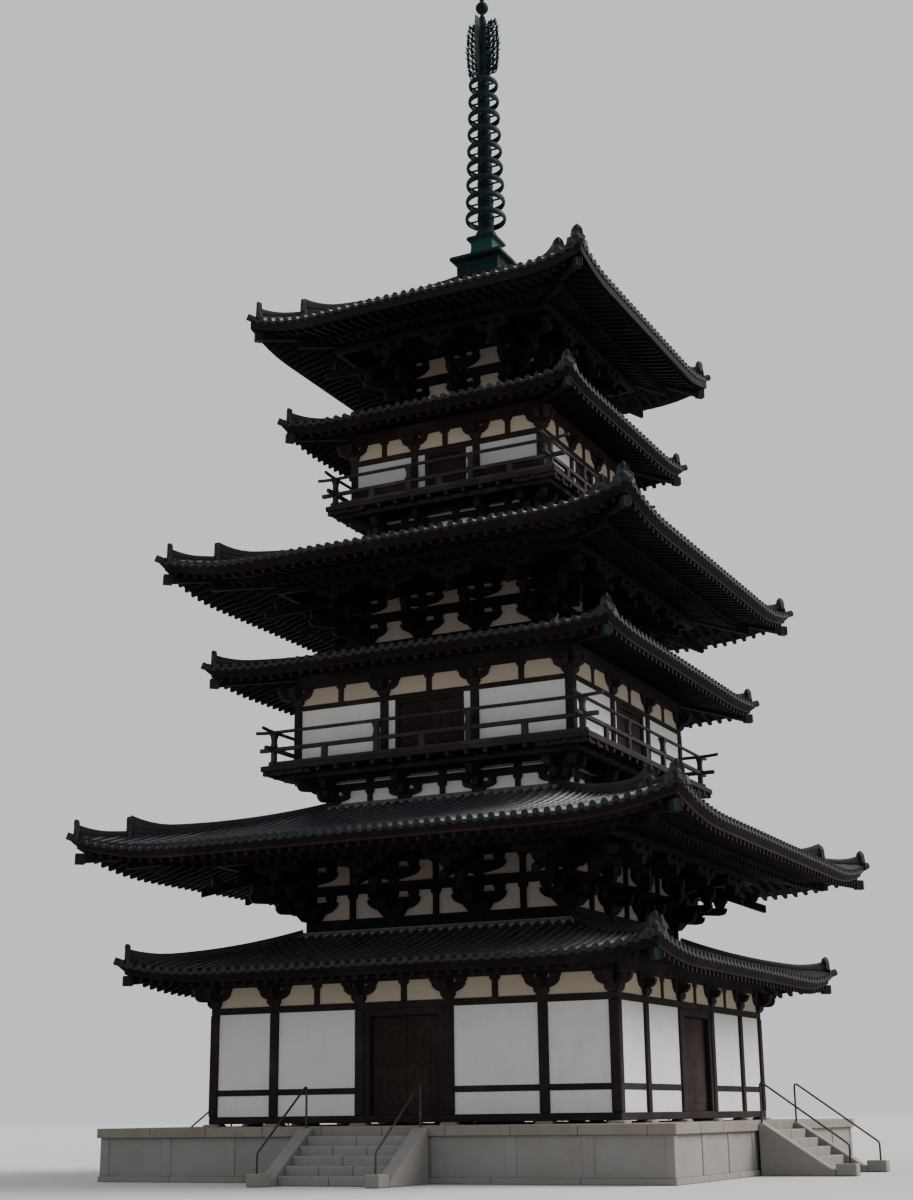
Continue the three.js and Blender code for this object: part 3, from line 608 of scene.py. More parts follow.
# %% [markdown]
# ## The curve of a roof
# All six roofs follow one rule. Going up from the eave a slope rises slowly, then more steeply, which
# makes it hollow. Going along the eave to a corner, the last part lifts up in a gentle curve. The rule
# takes a distance out from the middle of the pagoda and a distance to the side. Tiles, boards, rafters
# and ridges are all modelled flat and straight first, and then moved by this one rule, so they fit.

# %% Roof measures and the rule
LIFT_START, LIFT_POWER, LIFT_FADE = 0.6, 2.2, 2


class Roof(namedtuple("Roof", "name edge edge_z inner inner_z hollow lift pitch")):
    span = property(lambda roof: roof.edge - roof.inner)

    def rise(self, out, side):
        """How far the lifted corner raises a point."""
        t = np.clip((self.edge - out) / self.span, 0, 1)
        along = np.clip((np.abs(side) / np.maximum(out, 0.01) - LIFT_START) / (1 - LIFT_START), 0, 1)
        return self.lift * along ** LIFT_POWER * (1 - t) ** LIFT_FADE

    def height(self, out, side):
        """The height of the tiled slope."""
        t = (self.edge - out) / self.span
        slope = (1 - self.hollow) * t + self.hollow * t * t
        return self.edge_z + (self.inner_z - self.edge_z) * slope + self.rise(out, side)


PENT_ROOFS = [
    Roof("pent_roof_1", 7.06, 4.76, 3.7653, 5.80, 0.35, 0.325, 0.30),
    Roof("pent_roof_2", 5.69, 12.55, 2.7503, 13.33, 0.35, 0.15, 0.25),
    Roof("pent_roof_3", 4.34, 19.58, 1.7603, 20.40, 0.35, 0.21, 0.30),
]
MAIN_ROOFS = [
    Roof("main_roof_1", 7.98, 7.68, 3.2703, 9.12, 0.45, 0.44, 0.27),
    Roof("main_roof_2", 6.62, 15.11, 2.3103, 16.60, 0.50, 0.42, 0.27),
    Roof("main_roof_3", 5.00, 22.46, 0.50, 25.00, 0.45, 0.34, 0.27),
]
ROOFS = PENT_ROOFS + MAIN_ROOFS
for roof in ROOFS:
    print(roof.name, "eave at", roof.edge_z, "corner at", round(float(roof.height(roof.edge, roof.edge)), 2))

# %% [markdown]
# ## Roof tiles
# The roofs are laid with two kinds of tile: broad, slightly hollow pan tiles, and half-round cover tiles
# over the joints between them. They could be a bump in the material, but at the eave their outline shows
# against the sky, so they are real shapes. One cell holds one cover tile and half a pan on each side. An
# array repeats it into a flat sheet, two bisects cut the sheet along the hips, and the roof's rule bends
# it. Each cell is only fourteen faces, because there are thousands of them.

# %% Tiled slopes
TILE_WIDTH, TILE_LENGTH, TILE_STEP = 0.27, 0.31, 0.006
COVER = [
    (-0.5, 0), (-0.26, 0.03), (-0.2, 0.08), (-0.08, 0.108),
    (0.08, 0.108), (0.2, 0.08), (0.26, 0.03), (0.5, 0),
]


def tile_cell(width):
    """One cover tile between two half pans, with the step at its lower end."""
    deselect()
    bpy.ops.mesh.primitive_grid_add(x_subdivisions=len(COVER) - 1, y_subdivisions=1, size=1)
    across, raised = np.array(COVER).T

    def bend(x, y, z):
        row = np.rint((x + 0.5) * (len(COVER) - 1)).astype(int)
        return across[row] * width, np.where(y > 0, TILE_LENGTH, 0), raised[row] - TILE_STEP * (y > 0)

    reshape(bpy.context.object, bend)
    edit_mode()
    pick("EDGE", lambda middle, edge: middle.y < 0.001)
    extrude(-TILE_STEP)
    return object_mode()


def along_eave(cell, roof, width):
    """Repeat a cell along the whole eave, which lies on y = 0."""
    reshape(cell, lambda x, y, z: (x + width / 2 - roof.edge, y, z))
    return repeated(cell, round(2 * roof.edge / width), (width, 0, 0))


def cut_at_hips(piece, edge, fill=False):
    """Cut a flat sheet, whose eave lies on y = 0, along the two hips."""
    choose([piece])
    edit_mode()
    for hand in (-1, 1):
        cut((hand * edge, 0, 0), (hand, 1, 0), fill)
    return object_mode()


def tiled_side(roof, width):
    sheet = along_eave(tile_cell(width), roof, width)
    repeated(sheet, math.ceil(roof.span / TILE_LENGTH), (0, TILE_LENGTH, 0))
    cut_at_hips(sheet, roof.edge)
    edit_mode()
    cut((0, roof.span, 0), (0, 1, 0))
    object_mode()
    lay_grain(sheet, unit=(width, TILE_LENGTH))
    return reshape(sheet, lambda x, y, z: (x, y - roof.edge, z + roof.height(roof.edge - y, x)))


# %% Tile ends at the eave
def eave_ends(roof, width):
    """The round end tiles of the cover rows and the lips of the pans between them."""
    disc = cylinder(10, 0.078, 0.05, (0, 0, 0.045), (QUARTER, 0, 0))
    edit_mode()
    pick_facing("+y")
    bpy.ops.mesh.delete(type="FACE")
    pick_facing("-y")
    sunk(0.016, 0, 0.012, 0)
    object_mode()
    lip = cube((width * 0.22, -0.012, -0.058), (width * 0.78, 0.02, 0.012))
    edit_mode()
    pick("EDGE", lambda middle, edge: middle.y < -0.01 and middle.z < -0.05)
    bevel(0.02)
    object_mode()
    row = along_eave(joined([lay_grain(disc), lay_grain(lip)]), roof, width)
    edit_mode()
    for hand in (1, -1):
        cut((hand * (roof.edge - 0.12), 0, 0), (hand, 0, 0))
    object_mode()
    return reshape(row, lambda x, y, z: (x, y - roof.edge, z + roof.height(roof.edge, x)))


# The tile ends take the darker clay, which is painted shade.
for roof in ROOFS:
    width = roof.edge / round(roof.edge / TILE_WIDTH)
    done(roof.name + "_tiles", around([tiled_side(roof, width)]), tile, [roof.name], smooth=38)
    done(roof.name + "_tile_ends", around([eave_ends(roof, width)]), shaded_clay, smooth=38)

# %% [markdown]
# ## Under the tiles
# Below the tiles lies a thick bed of boards and clay. From the ground its underside shows between the
# rafters. The bed is one cube, cut into rows and columns in edit mode; its top points follow the tiles
# and its bottom points follow the rafters. Main roofs have two rows of rafters: base rafters that slope
# down from the wall, a beam across their ends, and flatter flying rafters that reach out to the eave
# boards. Pent roofs have one row.

# %% Heights under the eaves
BOARD_IN, FLYING, FLY_PITCH = 0.13, 0.98, 0.18
RAFTER_DEEP, FLY_DEEP = 0.125, 0.115


def fly_foot(roof, out):
    """Underside of the flying rafters of a main roof, or of the only rafters of a pent roof."""
    pitch = FLY_PITCH if roof in MAIN_ROOFS else roof.pitch
    return roof.edge_z - 0.34 + (roof.edge - BOARD_IN - 0.02 - out) * pitch


def base_foot(roof, out):
    """Underside of the base rafters of a main roof."""
    return roof.edge_z - 0.38 + (roof.edge - BOARD_IN - FLYING - out) * roof.pitch


def board_step(roof):
    """Where the boards step down from the flying rafters to the base rafters."""
    return roof.edge - BOARD_IN - FLYING - 0.1


def soffit(roof, out):
    """Underside of the boards that lie on the rafters."""
    fly = fly_foot(roof, out) + FLY_DEEP
    if roof in PENT_ROOFS:
        return fly
    return np.where(out > board_step(roof), fly, base_foot(roof, out) + RAFTER_DEEP)


# %% Cutting and mitring bars
def cut_rows(piece, axis, cuts):
    """Cut a cube into rows along an axis: only its long edges are subdivided."""
    number = "xyz".index(axis)
    edit_mode()
    pick("EDGE", lambda middle, edge: abs(edge.verts[0].co[number] - edge.verts[1].co[number]) > 0.01)
    bpy.ops.mesh.subdivide(number_cuts=cuts)
    object_mode()
    return piece


def without_ends(piece):
    """Delete the end faces, at x = -1 and x = 1, of a bar that is mitred into its neighbours."""
    edit_mode()
    pick("FACE", lambda middle, face: abs(face.normal.x) > 0.9 and abs(middle.x) > 0.99)
    bpy.ops.mesh.delete(type="FACE")
    object_mode()
    return piece


def mitred(bar, rise=lambda out, side: 0):
    """Mitre a bar along the front at both corners: x runs from -1 to 1 and becomes a share of the
    distance out. `rise` gives the height to add at a distance out and to the side."""
    return reshape(without_ends(bar), lambda x, y, z: (x * -y, y, z + rise(-y, x * -y)))


def eave_board(roof, near, far, low, high):
    return lay_grain(mitred(cut_rows(cube((-1, -far, low), (1, -near, high)), "x", 22), roof.rise))


# %% Roof beds
BED_ROWS = 6


def roof_bed(roof, inner):
    """The bed of the front side, from the wall out to the eave."""
    levels = [roof.edge - 0.02, roof.edge - BOARD_IN - 0.05]
    if roof in MAIN_ROOFS:
        levels += [roof.edge - 0.6, board_step(roof) + 0.004, board_step(roof) - 0.004]
    start = levels[-1]
    levels = np.array(levels + [start + (inner - start) * row / BED_ROWS for row in range(1, BED_ROWS + 1)])
    bed = without_ends(cut_rows(cube((-1, 0, 0), (1, 1, 1)), "x", 20))
    cut_rows(bed, "y", len(levels) - 2)

    def follow(x, y, z):
        out = levels[np.rint(y * (len(levels) - 1)).astype(int)]
        side = x * out
        under = soffit(roof, out) + roof.rise(out, side)
        under = np.where(out > roof.edge - BOARD_IN, roof.height(out, side) - 0.07, under)
        over = roof.height(out, side) - 0.03
        if roof.name == "main_roof_3":
            under = np.minimum(under, over - 0.25)
        return side, -out, np.where(z > 0.5, over, under)

    return lay_grain(reshape(bed, follow), "Y")


# %% [markdown]
# ## Rafters and eave boards
# The rafters of one side are parallel and stop at the hip rafter. One bar is modelled, repeated by an
# array, cut at the hips, and then bent to the roof's rule, which also lifts the ones near the corners.

# %% Rafters and eave boards
RAFTER_PITCH = {"main_roof_1": 0.304, "main_roof_3": 0.285}
PENT_RAFTER_BACK = {"pent_roof_1": 5.15, "pent_roof_2": 3.75, "pent_roof_3": 2.7}


def rafter_row(roof, tip, back, foot, deep, wide):
    """One side's row of rafters from their tips back to the wall, undersides following `foot`."""
    pitch = RAFTER_PITCH.get(roof.name, 0.30)
    count = 2 * math.floor(tip / pitch)
    start = -(count - 1) / 2 * pitch
    bar = cube((start - wide / 2, roof.edge - tip, 0), (start + wide / 2, roof.edge - back, deep))
    repeated(bar, count, (pitch, 0, 0))
    lay_grain(cut_at_hips(bar, roof.edge, fill=True), "Y")

    def slope(x, y, z):
        out = roof.edge - y
        return x, -out, z + foot(roof, out) + roof.rise(out, x)

    return reshape(bar, slope)


def back_of_rafters(roof):
    """Where the base rafters end, at the wall."""
    return PENT_RAFTER_BACK.get(roof.name, roof.inner + 0.1)


def eaves(roof):
    """Under the tiles of one side: rafters, the beam between them, and the eave boards."""
    board, back, top = roof.edge - BOARD_IN, back_of_rafters(roof), roof.edge_z
    if roof in MAIN_ROOFS:
        end = board - FLYING
        low, high = base_foot(roof, end) + RAFTER_DEEP - 0.01, fly_foot(roof, end) + 0.005
        timbers = [
            rafter_row(roof, board - 0.02, end - 0.12, fly_foot, FLY_DEEP, 0.095),
            rafter_row(roof, end + 0.02, back, base_foot, RAFTER_DEEP, 0.11),
            eave_board(roof, end - 0.1, end, low, high),
        ]
    else:
        timbers = [rafter_row(roof, board - 0.02, back, fly_foot, FLY_DEEP, 0.10)]
    boards = [
        eave_board(roof, board - 0.12, board, top - 0.225, top - 0.105),
        eave_board(roof, board - 0.06, board + 0.045, top - 0.105, top - 0.05),
    ]
    return timbers, boards


# Rafters and beds take the darker eave timber and most boards the darker brown one: both are painted shade.
for roof in ROOFS:
    timbers, boards = eaves(roof)
    done(roof.name + "_rafters", around(timbers), wood["eave"])
    tone = "red" if roof.name == "main_roof_1" else "brown"
    done(roof.name + "_boards", around(boards), wood[tone])
    done(roof.name + "_bed", around([roof_bed(roof, roof.inner + 0.02)]), wood["eave"])

# %% [markdown]
# ## Hip ridges
# Where two slopes meet, a ridge of flat tiles covers the joint: a low run at the corner and a higher run
# behind it, each ending in an ornamental end tile. The layers are thin bars, every second one a little
# narrower, so that their edges draw fine lines, under a row of round tiles. Each layer is modelled
# straight, from 0 to 1 along X, and then laid along the corner diagonal with the roof's rule.

# %% Hip ridges
DIAGONAL = math.sqrt(0.5)


def laid_on_hip(piece, start, end, height):
    """Carry a straight piece onto the front right hip, from one distance out to another."""
    def follow(x, y, z):
        out = start + (end - start) * x
        return out + y * DIAGONAL, -out + y * DIAGONAL, height(out, x, z)
    return reshape(piece, follow)


def upturn(share, length):
    """How much more a ridge rises towards its outer end, over a share of its length."""
    return 0.7 * np.clip(1 - share / length, 0, 1) ** 2


def ridge_run(roof, start, end, height, rise, cuts):
    """Layers of flat tiles, two of them below the slope, and the round tiles on top."""
    layers = max(2, round((height - 0.06) / 0.05))
    thick = (height - 0.06) / layers
    parts = []
    for number in range(-2, layers):
        wide = 0.125 if number < 0 else (0.105, 0.088)[number % 2]
        low = number * thick
        parts.append(cut_rows(cube((0, -wide, low), (1, wide, low + thick * 1.001)), "x", cuts))
    parts.append(cut_rows(cylinder(10, 0.082, 1, (0.5, 0, height - 0.06), (0, QUARTER, 0)), "x", cuts))
    for part in parts:
        lay_grain(part, unit=(0.3 / abs(end - start), 0.3))
        laid_on_hip(part, start, end, lambda out, x, z: roof.height(out, out) + z * rise(x))
    return parts


# %% End tiles of the ridges
def end_tile(height, wide):
    """The ornamental end tile: an arched plate with a sunk face, a boss and shoulders."""
    def at_top_corner(middle, edge):
        return middle.z > height - 0.01 and abs(middle.x) > wide * 0.4 and abs(middle.y) < 0.02

    plate = cube((-wide / 2, -0.05, -0.1), (wide / 2, 0.06, height))
    edit_mode()
    pick("EDGE", at_top_corner)
    bevel(wide * 0.42, 5)
    pick_facing("-y")
    sunk(0.035, 0, 0.03, 0)
    object_mode()
    deselect()
    middle = (0, -0.03, height * 0.42)
    bpy.ops.mesh.primitive_uv_sphere_add(segments=12, ring_count=6, radius=wide * 0.26, location=middle)
    bpy.context.object.scale = (1, 0.5, 1)
    boss = applied()
    shoulders = beam((-wide * 0.72, -0.035, -0.1), (wide * 0.72, 0.05, height * 0.3), ease=0.03)
    crest = beam((-wide * 0.16, -0.07, height * 0.72), (wide * 0.16, 0.05, height + 0.03), ease=0.03)
    whole = joined([lay_grain(plate), lay_grain(boss), shoulders, crest])
    return reshape(whole, lambda x, y, z: (x * (1.3 - 0.6 * np.clip(z / height, 0, 1)), y, z))


def corner_tile():
    """The last round tile of a hip, which points up and out over the corner."""
    cylinder(14, 0.095, 0.42, (0, 0, 0), (math.radians(71), 0, 0))
    edit_mode()
    pick_facing("-y")
    recessed(0.022, -0.012)
    return lay_grain(object_mode())


# %% Ridges with their ends
FIRST_RIDGE = {"main_roof_1": (0.13, 0.45), "main_roof_2": (0.23, 0.48), "main_roof_3": (0.20, 0.52)}
SECOND_RIDGE = {"main_roof_1": (1.05, 0.54), "main_roof_2": (1.12, 0.56), "main_roof_3": (1.10, 0.57)}


def hip_ridge(roof):
    """The ridge of the front right corner with its end tiles."""
    back, tall = FIRST_RIDGE.get(roof.name, (0.19, 0.45))
    first = roof.edge - back
    if roof in MAIN_ROOFS:
        further, high = SECOND_RIDGE[roof.name]
        second, top = roof.edge - further, max(roof.inner, 0.62)
        parts = ridge_run(roof, first, second - 0.05, 0.19, lambda share: 1 + upturn(share, 0.6), 10)
        parts += ridge_run(roof, second, top, 0.34, lambda share: 1 - 0.45 * share + upturn(share, 0.22), 20)
        ends = [(first, tall, 0.33), (second, high, 0.34)]
    else:
        parts = ridge_run(roof, first, roof.inner, 0.19, lambda share: 1 + upturn(share, 0.25), 16)
        ends = [(first, tall, 0.30)]
    for start, height, wide in ends:
        out = start + 0.02
        parts += copies(end_tile(height, wide), [on_corner(out, float(roof.height(out, out)))])
    tip = roof.edge - 0.09
    return parts + copies(corner_tile(), [on_corner(tip, float(roof.height(tip, tip)))])


# The ridges take the darker clay, which is painted shade.
for roof in ROOFS:
    done(roof.name + "_ridges", around(hip_ridge(roof)), shaded_clay, smooth=40)

# %% [markdown]
# ## Hip rafters
# A deep rafter runs under each hip and carries the corner. Its end shows under the corner tiles and wears
# a cap of bronze against the rain. Main roofs have two, one over the other.

# %% Hip rafters and their caps
HIP_WIDE, CAP_SKIN = 0.165, 0.012


def hip_bar(tip, back, tip_foot, back_foot, deep):
    """A bar under the front right hip, its underside running between two heights."""
    bar = beam((0, -HIP_WIDE / 2, 0), (1, HIP_WIDE / 2, deep))
    return laid_on_hip(bar, tip, back, lambda out, x, z: z + tip_foot + (back_foot - tip_foot) * x)


def end_cap(out, foot, deep):
    """A bronze sleeve over the end of a hip rafter."""
    half = HIP_WIDE / 2 + CAP_SKIN
    sleeve = cube((-half, -0.02, -CAP_SKIN), (half, 0.22, deep + CAP_SKIN))
    edit_mode()
    bevel(CAP_SKIN, 2)
    pick_facing("-y", 0.95)
    sunk(0.03, 0, 0.008, 0)
    object_mode()
    return copies(lay_grain(sleeve), [on_corner(out, foot)])


def hip_rafters(roof):
    board = roof.edge - BOARD_IN
    corner = roof.edge_z + float(roof.rise(board, board))
    if roof in MAIN_ROOFS:
        end, wall = board - FLYING, roof.inner + 0.3
        lift, tip_foot = roof.rise(end, end), corner - 0.60
        bars = [hip_bar(board, end - 0.3, tip_foot, float(fly_foot(roof, end - 0.2) + lift) - 0.1, 0.24)]
        caps = end_cap(board + 0.005, tip_foot, 0.24)
        low_foot = float(base_foot(roof, end) + lift) - 0.16
        bars.append(hip_bar(end + 0.1, wall, low_foot, float(base_foot(roof, wall)) - 0.1, 0.26))
    else:
        wall, tip_foot = back_of_rafters(roof) + 0.1, corner - 0.50
        bars = [hip_bar(board, wall, tip_foot, float(fly_foot(roof, wall)) - 0.1, 0.22)]
        caps = end_cap(board + 0.005, tip_foot, 0.22)
    return bars, caps


# Hip rafters take the darker eave timber, which is painted shade.
for roof in ROOFS:
    bars, caps = hip_rafters(roof)
    done(roof.name + "_hip_rafters", around(bars), wood["eave"])
    done(roof.name + "_hip_caps", around(caps), cap_bronze)

# %% [markdown]
# ## Platform
# The pagoda stands on a granite platform: a low footing, upright panels with posts between them, and a
# course of wide cap stones that overhangs a little. Every stone is its own block with eased edges, and
# the joints between them are real gaps of a few millimetres in front of a dark core.

# %% Platform
PLATFORM_HALF, CAP_HALF, PLATFORM_TOP, CAP_DEEP = 7.213, 7.285, 1.21, 0.22
JOINT, PANELS, CAP_STONES, CAP_WIDE, SLABS = 0.004, 8, 9, 0.62, 12


def stone_row(low, high, count, ease):
    """A course along the front, cut into equal stones with fine joints."""
    length = (high[0] - low[0]) / count
    first = beam((low[0] + JOINT, *low[1:]), (low[0] + length - JOINT, *high[1:]), ease=ease)
    return copies(first, [shift(x=length * number) for number in range(count)])


def platform_side():
    """Footing, posts and panels of one side."""
    out, top = PLATFORM_HALF, PLATFORM_TOP - CAP_DEEP
    parts = stone_row((-out - 0.03, -out - 0.03, 0), (out - 0.02, -out + 0.3, 0.13), 7, 0.015)
    post = beam((-0.13, -out, 0.13), (0.13, -out + 0.2, top), "Z")
    step = (2 * out - 0.26) / PANELS
    parts += copies(post, [shift(x=-out + 0.13 + step * number) for number in range(PANELS)])
    low, high = (-out + 0.13, -out + 0.022, 0.13), (out - 0.13, -out + 0.16, top - 0.002)
    return parts + stone_row(low, high, PANELS, 0.006)


def cap_side():
    low = (-CAP_HALF, -CAP_HALF, PLATFORM_TOP - CAP_DEEP)
    high = (CAP_HALF - CAP_WIDE, -CAP_HALF + CAP_WIDE, PLATFORM_TOP)
    return stone_row(low, high, CAP_STONES, 0.014)


def paving():
    """Square slabs inside the ring of cap stones."""
    inner = CAP_HALF - CAP_WIDE
    size = 2 * inner / SLABS
    near, far = -inner + JOINT, -inner + size - JOINT
    slab = beam((near, near, PLATFORM_TOP - 0.1), (far, far, PLATFORM_TOP), ease=0.01)
    return copies(slab, [shift(size * i, size * j) for i in range(SLABS) for j in range(SLABS)])


core_block = lay_grain(box(0, 0, 0, PLATFORM_TOP - 0.09, 14.2, 14.2))
done("platform_sides", around(platform_side()) + [core_block], stone, ["platform"])
done("platform_cap", around(cap_side()) + paving(), cap_stone)

# %% Base stones under the posts
base = beam((-0.21, -0.21, PLATFORM_TOP - 0.05), (0.21, 0.21, PLATFORM_TOP + 0.06), ease=0.02)
edit_mode()
pick_facing("+z")
widen(0.86, 0.86, (0, 0, 0))
object_mode()
bases = copies(base, [shift(x, -5.28) for x in (-1.185, 1.185, -3.555, 3.555, -5.28)])
done("base_stones", around(bases), stone)

# %% [markdown]
# ## Stairs
# Five steps climb to the platform in front of each door. A step is made of two or three stones with an
# eased nose, laid so that the joints of one step miss those of the next. A sloping cheek stone closes
# each side: a cube whose upper front edge is moved down to make the slope, with a square stone at its
# foot and a bent pipe as handrail.

# %% Stairs
RISERS, TREAD, STAIR_WIDE, CHEEK = 6, 0.30, 2.54, 0.35
CHEEK_FOOT, CHEEK_TOP, STAIR_END = 9.02, 1.23, 9.5
RAIL_RADIUS = 0.024
RAIL_LINE = [
    (-9.33, 0.25), (-9.33, 0.64), (-9.315, 0.68), (-9.28, 0.72),
    (-7.38, 2.06), (-7.34, 2.06), (-7.32, 2.02), (-7.32, 1.15),
]


def steps():
    rise = PLATFORM_TOP / RISERS
    parts = []
    for step in range(1, RISERS):
        out, top = CAP_HALF + step * TREAD, PLATFORM_TOP - step * rise
        back = -out + TREAD + 0.04 if step > 1 else -CAP_HALF
        low, high = (-STAIR_WIDE / 2, -out, max(top - rise - 0.02, 0)), (STAIR_WIDE / 2, back, top)
        parts += stone_row(low, high, 3 - step % 2, 0.018)
    return parts


def cheek(x):
    slab = cube((x - CHEEK / 2, -CHEEK_FOOT, 0), (x + CHEEK / 2, -CAP_HALF, CHEEK_TOP))
    edit_mode()
    pick("EDGE", lambda middle, edge: middle.y < -CHEEK_FOOT + 0.01 and middle.z > 1)
    move(0, 0, 0.1 - CHEEK_TOP)
    pick("EDGE", lambda middle, edge: middle.y > -CAP_HALF - 0.01 and middle.z > 1)
    bevel(0.09)
    bpy.ops.mesh.select_all(action="SELECT")
    bevel(0.014, clamp_overlap=True)
    object_mode()
    return lay_grain(slab)


def handrail(x):
    """A bent pipe: a curve through the points, given a round section and made a mesh."""
    curve = bpy.data.curves.new("rail", "CURVE")
    curve.dimensions = "3D"
    curve.bevel_depth, curve.bevel_resolution, curve.use_fill_caps = RAIL_RADIUS, 3, True
    spline = curve.splines.new("POLY")
    spline.points.add(len(RAIL_LINE) - 1)
    for point, (y, z) in zip(spline.points, RAIL_LINE):
        point.co = (x, y, z, 1)
    piece = bpy.data.objects.new("rail", curve)
    bpy.context.scene.collection.objects.link(piece)
    choose([piece])
    bpy.ops.object.convert(target="MESH")
    return lay_grain(bpy.context.object)


cheek_x = (STAIR_WIDE + CHEEK) / 2
stones, rails = steps(), []
for x in (-cheek_x, cheek_x):
    stones += [cheek(x), beam((x - 0.17, -STAIR_END, 0), (x + 0.17, -CHEEK_FOOT - 0.005, 0.27), ease=0.02)]
    rails.append(handrail(x))
for side, stair, rail in zip(SIDES, around(stones), around(rails)):
    done(f"stair_{side}_stones", [stair], stone, [f"stair_{side}"])
    done(f"stair_{side}_rails", [rail], iron, smooth=50)

# %% [markdown]
# ## Blocks, arms and struts
# Japanese timber eaves stand on brackets made of two shapes. A bearing block is square on top and
# tapers below, like a cushion. An arm is a short beam whose lower ends are cut up in a curve. A third
# shape, the strut, is a short post with a widening head that fills the middle of a bay. Each is a cube
# shaped by one or two edit-mode steps; the rest is copying.

# %% Blocks, arms and struts
def block(x, out, foot, wide, tall, deep=None):
    """A bearing block: square above, tapering below."""
    waist = foot + tall * 0.48
    box(x, out, waist, foot + tall, wide, deep or wide)
    edit_mode()
    pick_facing("-z")
    extrude(foot - waist)
    widen(0.66, 0.66, (x, -out, foot))
    return lay_grain(object_mode())


def seats(x, out, foot, reach, wide, tall):
    """Three small blocks on an arm: over its middle and near its ends."""
    return [block(x + place, out, foot, wide, tall) for place in (-reach, 0, reach)]


def arm(x, out, foot, half, tall, deep):
    """An arm along the wall, shaped like a boat: its underside rises to the ends and curves up."""
    box(x, out, foot, foot + tall, 2 * half, deep)
    edit_mode()
    pick("EDGE", lambda middle, edge: middle.z < foot + 0.001 and abs(abs(middle.x - x) - half) < 0.001)
    bevel(tall * 0.75, 4, clamp_overlap=False)
    for hand in (-1, 1):
        bpy.ops.mesh.select_all(action="SELECT")
        bpy.ops.mesh.bisect(plane_co=(x + hand * half * 0.3, 0, 0), plane_no=(1, 0, 0))

    def hollow(px, py, pz):
        share = np.clip(np.abs(px - x) / half - 0.3, 0, 1) * np.clip((foot + tall - pz) / tall, 0, 1)
        return px, py, pz + share * tall * 0.55

    return reshape(lay_grain(object_mode()), hollow)


def arm_out(far, foot, tall, wide):
    """An arm that reaches out from the wall, its lower outer end cut up in a curve."""
    cube((-wide / 2, -far, foot), (wide / 2, 0, foot + tall))
    edit_mode()
    pick("EDGE", lambda middle, edge: middle.z < foot + 0.001 and middle.y < -far + 0.001)
    bevel(tall * 0.85, 4, clamp_overlap=False)
    return lay_grain(object_mode(), "Y")


def strut(x, out, foot, top, wide, deep):
    """A short post that widens at its head."""
    cap = (top - foot) * 0.28
    box(x, out, foot, top - cap * 0.8, wide, deep)
    edit_mode()
    pick_facing("+z")
    extrude(cap * 0.35)
    widen(1.75, 1.06, (x, -out, top))
    extrude(cap * 0.45)
    return lay_grain(object_mode(), "Z")


def ring(near, far, low, high):
    """One side of a square ring of beams, mitred at the corners."""
    mitred(cube((-1, -far, low), (1, -near, high)))
    edit_mode()
    pick("EDGE", lambda middle, edge: abs(edge.verts[0].co.x - edge.verts[1].co.x) > 0.5)
    bevel(0.012)
    return lay_grain(object_mode())


print("blocks, arms and struts are ready")

# %% [markdown]
# ## Walls of the pent storeys
# The outer walls are a timber frame: sill, square posts, a head beam with brackets and struts on it, and
# an eave beam on top. White plaster fills the frame. The ground doors turn on pivots; the upper doors
# are shut. One function builds the front of a wall from its heights, and `around` repeats it.

# %% Wall measures and brackets
WALL_OUT, RAIL_OUT = 0.10, 0.085
WALL_FIELDS = "level half posts post foot sill_top waist head band_top door jamb lintel struts"


class Wall(namedtuple("Wall", WALL_FIELDS)):
    top = property(lambda wall: float(fly_foot(PENT_ROOFS[wall.level - 1], wall.half + 0.1)) + 0.02)
    rise = property(lambda wall: wall.band_top - wall.head[1])


WALLS = [
    Wall(1, 5.28, (1.185, 3.555, 5.28), 0.24, 1.27, 1.44, (1.925, 2.065), (3.855, 4.015), 4.49, 0.91, 1.07,
         3.68, (0, 2.37)),
    Wall(2, 3.87, (1.29, 3.87), 0.23, 10.17, 10.30, None, (11.67, 11.80), 12.24, 0.86, 0.98, 11.56, (0, 2.58)),
    Wall(3, 2.81, (0.93, 2.81), 0.21, 17.49, 17.71, (17.70, 18.06), (18.70, 18.86), 19.295, 0.47, 0.62, 18.60,
         (0, 1.87)),
]


def wall_bracket(wall, x):
    """A block on the post, an arm, and three small blocks under the eave beam."""
    foot, rise, out, size = wall.head[1], wall.rise, wall.half + 0.03, wall.post * 1.45
    reach = wall.post * 1.8
    parts = [block(x, out, foot, size, rise * 0.38, size * 0.9)]
    parts.append(arm(x, out, foot + rise * 0.30, reach, rise * 0.50, 0.17))
    parts += copies(arm_out(0.36, foot + rise * 0.40, rise * 0.42, 0.15), [shift(x, -wall.half)])
    return parts + seats(x, out, foot + rise * 0.78, reach * 0.78, wall.post * 1.12, rise * 0.25)


def corner_bracket(wall):
    """The bracket on a corner post: arms both ways and one on the diagonal."""
    foot, rise, half, size = wall.head[1], wall.rise, wall.half, wall.post
    reach, seat = size * 1.8, foot + rise * 0.78
    parts = [block(half, half, foot, size * 1.45 * 1.05, rise * 0.38)]
    along = arm(half, half + 0.03, foot + rise * 0.30, reach, rise * 0.50, 0.17)
    parts += copies(along, [shift(), shift(half, -half) @ spin(90) @ shift(-half, half)])
    parts += copies(arm_out(reach * 1.35, foot + rise * 0.33, rise * 0.47, 0.17), [on_corner(half)])
    parts += copies(block(0, reach * 1.12, seat, size * 1.1, rise * 0.25), [on_corner(half)])
    parts.append(block(half, half, seat, size * 1.12, rise * 0.25))
    for x in (half - reach * 0.78, half + reach * 0.78):
        parts.append(block(x, half + 0.03, seat, size * 1.12, rise * 0.25))
        parts.append(block(half + 0.03, x, seat, size * 1.12, rise * 0.25))
    return parts


